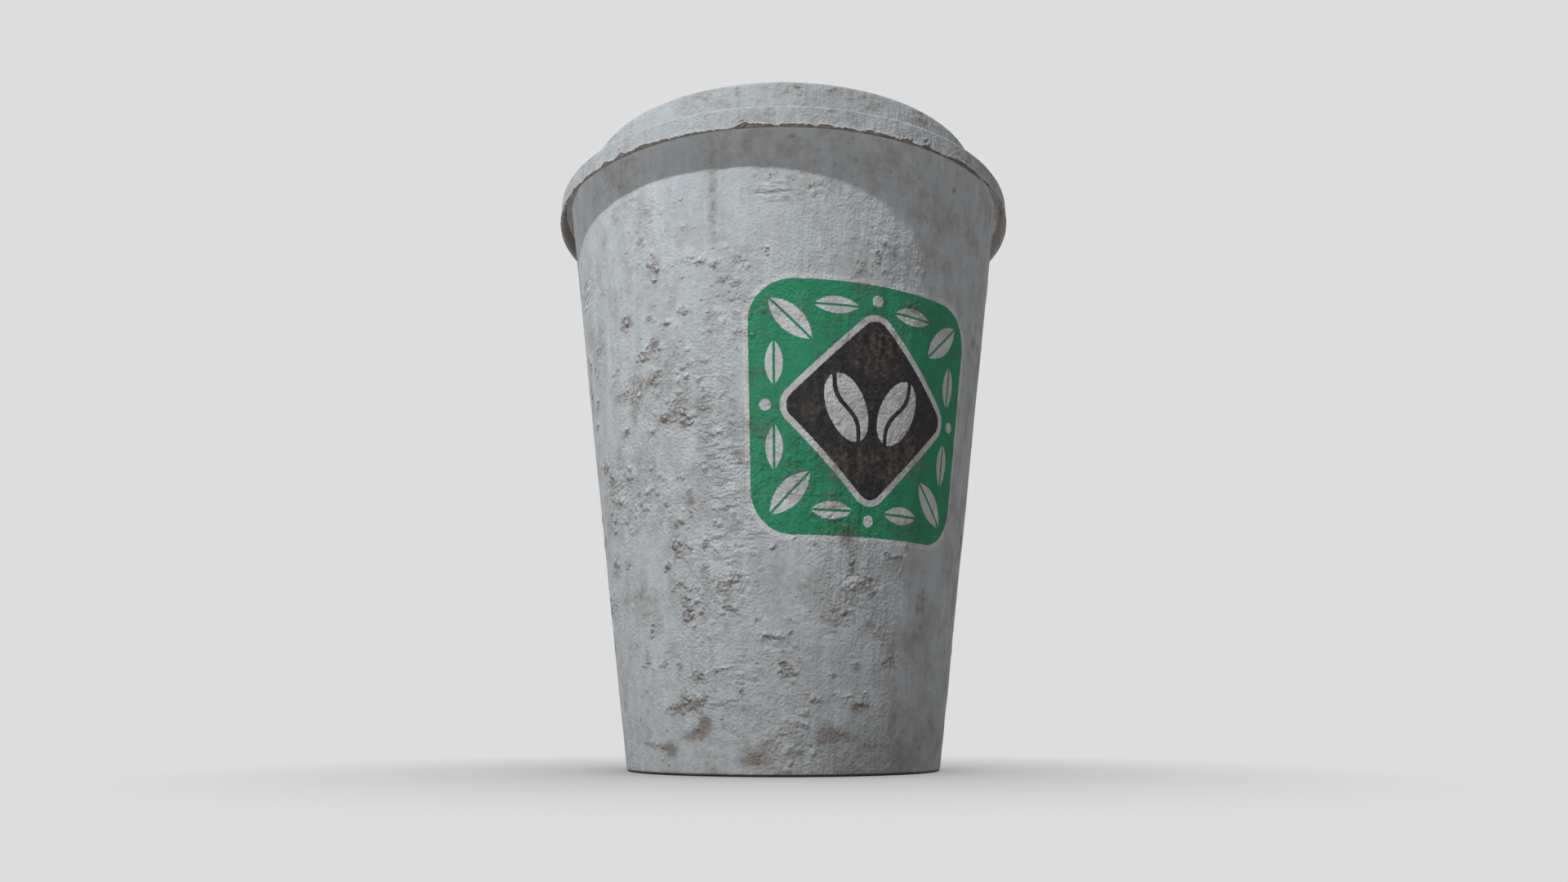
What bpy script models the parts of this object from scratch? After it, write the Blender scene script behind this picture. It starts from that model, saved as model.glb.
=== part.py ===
"""A used paper coffee cup with its press-on sip lid.

Three real pieces:
  cup_wall    the wrapped board: folded foot, lap seam at the back, rolled rim
  cup_bottom  the board dish held in the folded foot
  sip_lid     the thin formed lid: skirt, channel over the rim, dome, recessed deck

The cup stands on z = 0 with its axis on Z. Its front, with the drinking slot, looks to -Y.
All sizes are in metres.
"""

import math

import bmesh
import bpy
from mathutils import Matrix

# The board cup
BASE_DIAMETER = 0.0580  # outside of the wall on the table
MOUTH_DIAMETER = 0.0885  # outside of the wall at the height of the roll's centre
CUP_HEIGHT = 0.1110  # table to the top of the rolled rim
WALL_BOARD = 0.00045  # thickness of the wall's board
ROLL_DIAMETER = 0.0016  # outside of the rolled rim's section
FOOT_FILLET = 0.0006  # outer bends of the folded foot
LAP_STEP = 0.0003  # how far the cut edge of the outer ply stands proud at the seam
LAP_FACETS = 2  # width of the lap, in facets of the wall

# The board bottom
BOTTOM_BOARD = 0.00045  # thickness of the bottom's board
BOTTOM_HEIGHT = 0.0080  # table to the upper face of the bottom
BOTTOM_CORNER = 0.0010  # outer bend into the flange

# Fits
SEAT_GAP = 0.0003  # between faces that rest on each other
SKIRT_PLAY = 0.0006  # between the rolled rim and the lid's skirt

# The lid
LID_SHEET = 0.0005  # thickness of the formed sheet
SKIRT_HEIGHT = 0.00394  # lower edge of the skirt to its shoulder
SKIRT_FLARE = 0.0001  # how far the skirt spreads towards its lower edge
SHOULDER_DROP = 0.00071  # top of the channel down to the shoulder
CREST_WIDTH = 0.0019  # flat top of the channel, over the rim
GROOVE_DEPTH = 0.0035  # top of the channel down to the floor of the groove
GROOVE_WIDTH = 0.0016  # floor of the groove, between plug and dome
DOME_DIAMETER = 0.0805  # dome at its upper corner
DOME_HEIGHT = 0.00835  # top of the channel up to the drinking ledge
RECESS_DIAMETER = 0.0650  # recess in the top, at its upper corner
RECESS_SHIFT = 0.0030  # how far the recess sits behind the axis
RECESS_DEPTH = 0.0040  # drinking ledge down to the deck
RECESS_DRAFT = 0.0006  # how far the recess narrows towards the deck
BEND = 0.0008  # bends of the formed sheet, on the side that shows
SLOT_LENGTH = 0.0130  # drinking slot, across the lid
SLOT_WIDTH = 0.0050  # drinking slot, front to back
VENT_DIAMETER = 0.0016
VENT_SETBACK = 0.0240  # vent hole, behind the axis

# Fineness
FACETS = 64  # facets round the axis
BEND_STEPS = 3  # straight steps in a bend
ROLL_STEPS = 9  # straight steps round the rolled rim
HOLE_SIDES = 26

# Places and sizes that follow from those above
FACET = 2.0 * math.pi / FACETS
BASE_RADIUS = BASE_DIAMETER / 2.0
ROLL_RADIUS = ROLL_DIAMETER / 2.0
ROLL_CENTRE_HEIGHT = CUP_HEIGHT - ROLL_RADIUS
WALL_SLOPE = (MOUTH_DIAMETER / 2.0 - BASE_RADIUS) / ROLL_CENTRE_HEIGHT
DRAFT = math.atan(WALL_SLOPE)
ROLL_BORE = ROLL_RADIUS - WALL_BOARD
ROLL_CENTRE = MOUTH_DIAMETER / 2.0 + ROLL_BORE / math.cos(DRAFT)
FOLD_WIDTH = (2.0 * WALL_BOARD + BOTTOM_BOARD + 2.0 * SEAT_GAP) / math.cos(DRAFT)
HEM_HEIGHT = BOTTOM_HEIGHT - BOTTOM_CORNER
FLANGE_FOOT = WALL_BOARD + SEAT_GAP
CREST_HEIGHT = CUP_HEIGHT + SEAT_GAP + LID_SHEET
SHOULDER_HEIGHT = CREST_HEIGHT - SHOULDER_DROP
SKIRT_RADIUS = ROLL_CENTRE + ROLL_RADIUS + SKIRT_PLAY + LID_SHEET
GROOVE_HEIGHT = CREST_HEIGHT - GROOVE_DEPTH
LEDGE_HEIGHT = CREST_HEIGHT + DOME_HEIGHT
DECK_HEIGHT = LEDGE_HEIGHT - RECESS_DEPTH
RECESS_RADIUS = RECESS_DIAMETER / 2.0
RECESS_FRONT = RECESS_RADIUS - RECESS_SHIFT
SLOT_SETBACK = (DOME_DIAMETER / 2.0 + RECESS_FRONT) / 2.0


def wall_radius(height, depth=0.0):
    """Radius of the wall's cone at a height, or of a face that lies some depth inside it."""
    return BASE_RADIUS + WALL_SLOPE * height - depth / math.cos(DRAFT)


def polar(centre_x, centre_z, radius, angle):
    """The point of a circle in the XZ plane at an angle from +X towards +Z."""
    return centre_x + radius * math.cos(angle), centre_z + radius * math.sin(angle)


def bent_path(corners):
    """Points of a path through corners (x, z, bend), each corner rounded by a tangent arc.

    A bend of 0 keeps the corner sharp.
    """
    points = [corners[0][:2]]
    for before, corner, after in zip(corners, corners[1:], corners[2:]):
        x, z, bend = corner
        if bend == 0.0:
            points.append((x, z))
            continue
        way_in = math.atan2(z - before[1], x - before[0])
        way_out = math.atan2(after[1] - z, after[0] - x)
        turn = (way_out - way_in + math.pi) % (2.0 * math.pi) - math.pi
        reach = bend * math.tan(abs(turn) / 2.0)
        side = math.copysign(math.pi / 2.0, turn)
        start = polar(x, z, reach, way_in + math.pi)
        centre = polar(*start, bend, way_in + side)
        for step in range(BEND_STEPS + 1):
            angle = way_in + turn * step / BEND_STEPS - side
            points.append(polar(*centre, bend, angle))
    points.append(corners[-1][:2])
    return points


def new_object(name, mesh, home):
    made = bpy.data.objects.new(name, mesh)
    home.objects.link(made)
    return made


def turned_sheet(name, path, thickness, home):
    """A sheet of even thickness: the path (x, z) turned round Z, thickened behind the path."""
    mesh = bpy.data.meshes.new(name)
    edges = [(index, index + 1) for index in range(len(path) - 1)]
    mesh.from_pydata([(x, 0.0, z) for x, z in path], edges, [])
    sheet = new_object(name, mesh, home)
    screw = sheet.modifiers.new("turn", "SCREW")
    screw.steps = screw.render_steps = FACETS
    screw.use_merge_vertices = True
    screw.merge_threshold = 1e-6
    thicken(sheet, thickness)
    return sheet


def lofted_sheet(name, path_at, thickness, home):
    """A sheet of even thickness through one path (radius, z) for each facet angle.

    path_at(angle) gives the paths, from the rim to the axis, all with as many points.
    It serves where the section changes round the axis, so that nothing turned would do.
    """
    build = bmesh.new()
    rings = []
    for facet in range(FACETS):
        angle = facet * FACET
        path = path_at(angle)[:-1]
        rings.append([build.verts.new((r * math.cos(angle), r * math.sin(angle), z)) for r, z in path])
    pole = build.verts.new((0.0, 0.0, path_at(0.0)[-1][1]))
    for ring, following in zip(rings, rings[1:] + rings[:1]):
        for low, high in zip(range(len(ring)), range(1, len(ring))):
            build.faces.new((ring[low], following[low], following[high], ring[high]))
        build.faces.new((ring[-1], following[-1], pole))
    mesh = bpy.data.meshes.new(name)
    build.to_mesh(mesh)
    build.free()
    sheet = new_object(name, mesh, home)
    thicken(sheet, thickness)
    return sheet


def thicken(sheet, thickness):
    solidify = sheet.modifiers.new("sheet", "SOLIDIFY")
    solidify.thickness = thickness
    solidify.offset = -1.0
    solidify.use_even_offset = True
    solidify.use_quality_normals = True


def boolean(target, other, operation, cutters):
    """Cuts other from target, or joins it, and keeps other only as a helper."""
    modifier = target.modifiers.new(other.name, "BOOLEAN")
    modifier.operation = operation
    modifier.object = other
    other.hide_render = True
    other.display_type = "WIRE"
    for collection in other.users_collection:
        collection.objects.unlink(other)
    cutters.objects.link(other)


def finish_surface(piece, colour, roughness):
    """Gives a piece its material, and smooth shading that keeps its creases."""
    material = bpy.data.materials.new(piece.name)
    material.use_nodes = True
    shader = material.node_tree.nodes["Principled BSDF"]
    shader.inputs["Base Color"].default_value = (*colour, 1.0)
    shader.inputs["Roughness"].default_value = roughness
    shader.inputs["Metallic"].default_value = 0.0
    piece.data.materials.append(material)
    piece.data.shade_smooth()


def wall_path():
    """The printed side of the board, from the end of the roll down the wall to the hem's end.

    The printed side lies inside the roll, outside on the wall and inside again on the hem.
    """
    curl = math.radians(270.0) - DRAFT
    roll = []
    for step in range(ROLL_STEPS + 1):
        angle = -math.pi / 2.0 + curl * step / ROLL_STEPS
        roll.append(polar(ROLL_CENTRE, ROLL_CENTRE_HEIGHT, ROLL_BORE, angle))
    foot_and_hem = [
        (*roll[-1], 0.0),
        (BASE_RADIUS, 0.0, FOOT_FILLET),
        (BASE_RADIUS - FOLD_WIDTH, 0.0, FOOT_FILLET),
        (wall_radius(HEM_HEIGHT) - FOLD_WIDTH, HEM_HEIGHT, 0.0),
    ]
    return roll[:-1] + bent_path(foot_and_hem)


def lap_ply(home):
    """The outer ply of the lap seam: it leaves the wall's face and ends in a proud cut edge."""
    low = FOOT_FILLET + SEAT_GAP
    high = CUP_HEIGHT - ROLL_DIAMETER - SEAT_GAP
    buried = WALL_BOARD / 2.0
    first = math.pi / 2.0 - LAP_FACETS * FACET / 2.0
    build = bmesh.new()
    levels = []
    for height in (low, high):
        outer, inner = [], []
        for facet in range(LAP_FACETS + 1):
            angle = first + facet * FACET
            proud = LAP_STEP * (2.0 * facet / LAP_FACETS - 1.0)
            for side, depth in ((outer, -proud), (inner, max(buried, -proud + buried / 2.0))):
                radius = wall_radius(height, depth)
                corner = (radius * math.cos(angle), radius * math.sin(angle), height)
                side.append(build.verts.new(corner))
        levels.append(outer + inner[::-1])
    bottom, top = levels
    build.faces.new(bottom[::-1])
    build.faces.new(top)
    for index, corner in enumerate(bottom):
        following = (index + 1) % len(bottom)
        build.faces.new((corner, bottom[following], top[following], top[index]))
    bmesh.ops.recalc_face_normals(build, faces=build.faces)
    mesh = bpy.data.meshes.new("lap_ply")
    build.to_mesh(mesh)
    build.free()
    return new_object("lap_ply", mesh, home)


def cup_wall(home, cutters):
    wall = turned_sheet("cup_wall", wall_path(), WALL_BOARD, home)
    boolean(wall, lap_ply(home), "UNION", cutters)
    finish_surface(wall, (0.50, 0.53, 0.54), 0.85)


def cup_bottom(home):
    """The dish: its flange hangs in the fold of the foot, a seat gap from every face."""
    flange_depth = WALL_BOARD + SEAT_GAP
    path = [
        (0.0, BOTTOM_HEIGHT, 0.0),
        (wall_radius(BOTTOM_HEIGHT, flange_depth), BOTTOM_HEIGHT, BOTTOM_CORNER),
        (wall_radius(FLANGE_FOOT, flange_depth), FLANGE_FOOT, 0.0),
    ]
    bottom = turned_sheet("cup_bottom", bent_path(path), BOTTOM_BOARD, home)
    finish_surface(bottom, (0.47, 0.45, 0.41), 0.9)


def recess_radius(angle):
    """Distance from the axis to the recess's circle, whose centre sits behind the axis."""
    across = RECESS_SHIFT * math.cos(angle)
    return RECESS_SHIFT * math.sin(angle) + math.sqrt(RECESS_RADIUS**2 - across**2)


def lid_path(angle):
    """The side of the lid that shows, from the skirt's lower edge to the axis."""
    sheet_depth = WALL_BOARD + SEAT_GAP + LID_SHEET
    plug_top = wall_radius(CREST_HEIGHT, sheet_depth)
    plug_foot = wall_radius(GROOVE_HEIGHT, sheet_depth)
    recess = recess_radius(angle)
    return bent_path(
        [
            (SKIRT_RADIUS + SKIRT_FLARE, SHOULDER_HEIGHT - SKIRT_HEIGHT, 0.0),
            (SKIRT_RADIUS, SHOULDER_HEIGHT, 0.0),
            (plug_top + CREST_WIDTH, CREST_HEIGHT, BEND),
            (plug_top, CREST_HEIGHT, BEND),
            (plug_foot, GROOVE_HEIGHT, BEND),
            (plug_foot - GROOVE_WIDTH, GROOVE_HEIGHT, BEND),
            (DOME_DIAMETER / 2.0, LEDGE_HEIGHT, BEND),
            (recess, LEDGE_HEIGHT, BEND),
            (recess - RECESS_DRAFT, DECK_HEIGHT, BEND),
            (0.0, DECK_HEIGHT, 0.0),
        ]
    )


def hole_cutter(name, width, length, y, home):
    """An upright cutter through the lid's top, round if it is as long as it is wide.

    It is a cylinder, turned by half a side and then parted at x = 0 to reach its length.
    """
    depth = 2.0 * RECESS_DEPTH + 2.0 * LID_SHEET
    turn = Matrix.Rotation(math.pi / HOLE_SIDES, 4, "Z")
    build = bmesh.new()
    bmesh.ops.create_cone(
        build,
        cap_ends=True,
        segments=HOLE_SIDES,
        radius1=width / 2.0,
        radius2=width / 2.0,
        depth=depth,
        matrix=turn,
    )
    for vertex in build.verts:
        vertex.co.x += math.copysign((length - width) / 2.0, vertex.co.x)
    mesh = bpy.data.meshes.new(name)
    build.to_mesh(mesh)
    build.free()
    cutter = new_object(name, mesh, home)
    cutter.location = (0.0, y, LEDGE_HEIGHT)
    return cutter


def sip_lid(home, cutters):
    lid = lofted_sheet("sip_lid", lid_path, LID_SHEET, home)
    slot = hole_cutter("drinking_slot", SLOT_WIDTH, SLOT_LENGTH, -SLOT_SETBACK, home)
    vent = hole_cutter("vent_hole", VENT_DIAMETER, VENT_DIAMETER, VENT_SETBACK, home)
    boolean(lid, slot, "DIFFERENCE", cutters)
    boolean(lid, vent, "DIFFERENCE", cutters)
    finish_surface(lid, (0.52, 0.55, 0.56), 0.6)


def main():
    for leftover in list(bpy.data.objects):
        bpy.data.objects.remove(leftover)
    home = bpy.data.collections.new("coffee_cup")
    cutters = bpy.data.collections.new("cutters")
    bpy.context.scene.collection.children.link(home)
    bpy.context.scene.collection.children.link(cutters)
    cup_wall(home, cutters)
    cup_bottom(home)
    sip_lid(home, cutters)


main()
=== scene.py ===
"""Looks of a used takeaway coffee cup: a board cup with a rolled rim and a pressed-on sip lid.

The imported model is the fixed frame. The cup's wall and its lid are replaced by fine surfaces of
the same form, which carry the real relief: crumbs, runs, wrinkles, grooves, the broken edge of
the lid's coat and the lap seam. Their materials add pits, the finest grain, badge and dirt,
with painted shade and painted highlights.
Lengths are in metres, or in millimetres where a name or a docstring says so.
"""

import logging
import math
from collections.abc import Iterable
from dataclasses import dataclass, field
from enum import Enum
from itertools import product

import bpy
import numpy as np
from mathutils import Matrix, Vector


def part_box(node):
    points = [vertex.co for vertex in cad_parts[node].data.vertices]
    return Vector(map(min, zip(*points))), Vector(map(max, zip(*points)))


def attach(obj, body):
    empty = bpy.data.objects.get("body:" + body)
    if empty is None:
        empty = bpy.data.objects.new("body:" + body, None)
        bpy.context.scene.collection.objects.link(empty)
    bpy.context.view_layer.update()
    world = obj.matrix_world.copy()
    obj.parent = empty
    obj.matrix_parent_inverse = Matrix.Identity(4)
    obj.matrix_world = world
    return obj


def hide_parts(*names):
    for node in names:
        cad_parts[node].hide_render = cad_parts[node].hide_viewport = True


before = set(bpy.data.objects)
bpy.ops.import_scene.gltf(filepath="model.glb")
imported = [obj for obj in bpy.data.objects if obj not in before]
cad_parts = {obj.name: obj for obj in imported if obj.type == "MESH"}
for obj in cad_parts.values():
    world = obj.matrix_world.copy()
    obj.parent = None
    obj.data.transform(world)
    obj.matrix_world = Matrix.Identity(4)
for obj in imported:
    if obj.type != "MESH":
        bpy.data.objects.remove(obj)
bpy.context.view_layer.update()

log = logging.getLogger("coffee_cup")

MM = 0.001
BODY = "root"

Colour = tuple[float, float, float]
Place = tuple[float, float, float]
SHARP_ANGLE = math.radians(62.0)


# Random relief


@dataclass(frozen=True)
class LatticeNoise:
    """Smooth random bumps in space, the same on every run.

    Random values sit on a lattice of cells. Between them the value is blended along each axis
    with the curve 3t^2 - 2t^3. Each further octave has cells and a strength of half the size.

    Attributes:
        cell: Size of a lattice cell along x, y and z, in mm. Unequal sizes stretch the bumps.
        octaves: How many lattices are added up.
        seed: Chooses the random values.
    """

    cell: tuple[float, float, float]
    octaves: int = 1
    seed: int = 1

    TABLE_SIZE = 65536
    PRIMES = (73856093, 19349663, 83492791)
    SHIFT = 17.3

    def at(self, points: np.ndarray) -> np.ndarray:
        """Evaluates the bumps.

        Args:
            points: Points in mm, as an array whose last axis is x, y, z.

        Returns:
            Values from about -1 to 1, one for each point.
        """
        table = np.random.default_rng(self.seed).uniform(-1.0, 1.0, self.TABLE_SIZE)
        total = np.zeros(points.shape[:-1])
        for octave in range(self.octaves):
            share = 0.5**octave
            places = points / (np.array(self.cell) * share) + self.SHIFT * octave
            low = np.floor(places).astype(np.int64)
            part = places - low
            part = part * part * (3.0 - 2.0 * part)
            for corner in product((0, 1), repeat=3):
                weight = np.where(corner, part, 1.0 - part).prod(axis=-1)
                keys = (low + corner) * self.PRIMES
                key = keys[..., 0] ^ keys[..., 1] ^ keys[..., 2]
                total += share * weight * table[key % self.TABLE_SIZE]
        return total


# Damage and dirt


class Mark(Enum):
    """Kinds of damage and dirt on the coated board."""

    # The pale rims and the dark colour just below each crumb are painted highlight and painted shade.
    CRUST = "raised brown crumbs with pale rims"
    SMEAR = "thin brown film with soft edges"
    WRINKLE = "fine folds of the coat"
    SCRATCH = "narrow groove"
    RUN = "pale, smooth, raised run of the coat"


@dataclass(frozen=True)
class Blemish:
    """One patch of damage or dirt, an ellipse on the wall that fades out to its edge.

    Attributes:
        azimuth: Place round the cup in degrees, 0 at the front and positive to the right.
        height: Height of its middle above the table, in mm.
        across: Half its width, in mm.
        tall: Half its height, in mm.
        strength: How strong it is in its middle.
        tilt: Turn in degrees, anticlockwise for someone who looks at the wall.
    """

    azimuth: float
    height: float
    across: float
    tall: float
    strength: float = 1.0
    tilt: float = 0.0

    def cover(self, azimuth: np.ndarray, height: np.ndarray, radius: np.ndarray) -> np.ndarray:
        """The patch's strength at points of the wall: exp(-(a/across)^2 - (b/tall)^2).

        Args:
            azimuth: Azimuths of the points, in degrees.
            height: Their heights, in mm.
            radius: Their distances from the axis, in mm.

        Returns:
            The strength at each point.
        """
        turn = (azimuth - self.azimuth + 180.0) % 360.0 - 180.0
        right = np.radians(turn) * radius
        up = height - self.height
        cosine = math.cos(math.radians(self.tilt))
        sine = math.sin(math.radians(self.tilt))
        along = (right * cosine + up * sine) / self.across
        beside = (up * cosine - right * sine) / self.tall
        return self.strength * np.exp(-(along**2) - beside**2)


def listed(*rows: tuple[float, ...]) -> tuple[Blemish, ...]:
    """Makes patches of rows of azimuth, height, across, tall, strength and, if there is one, tilt."""
    return tuple(Blemish(*row) for row in rows)


def summed(marks: tuple[Blemish, ...], azimuths: np.ndarray, path: np.ndarray) -> np.ndarray:
    """Adds up the strength of patches over a grid.

    Args:
        marks: The patches.
        azimuths: Azimuth of each column, in degrees.
        path: Rows by columns by 2, radius and height in mm.

    Returns:
        The sum, rows by columns.
    """
    total = np.zeros(path.shape[:2])
    for mark in marks:
        total += mark.cover(azimuths[None, :], path[..., 1], path[..., 0])
    return total


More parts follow.
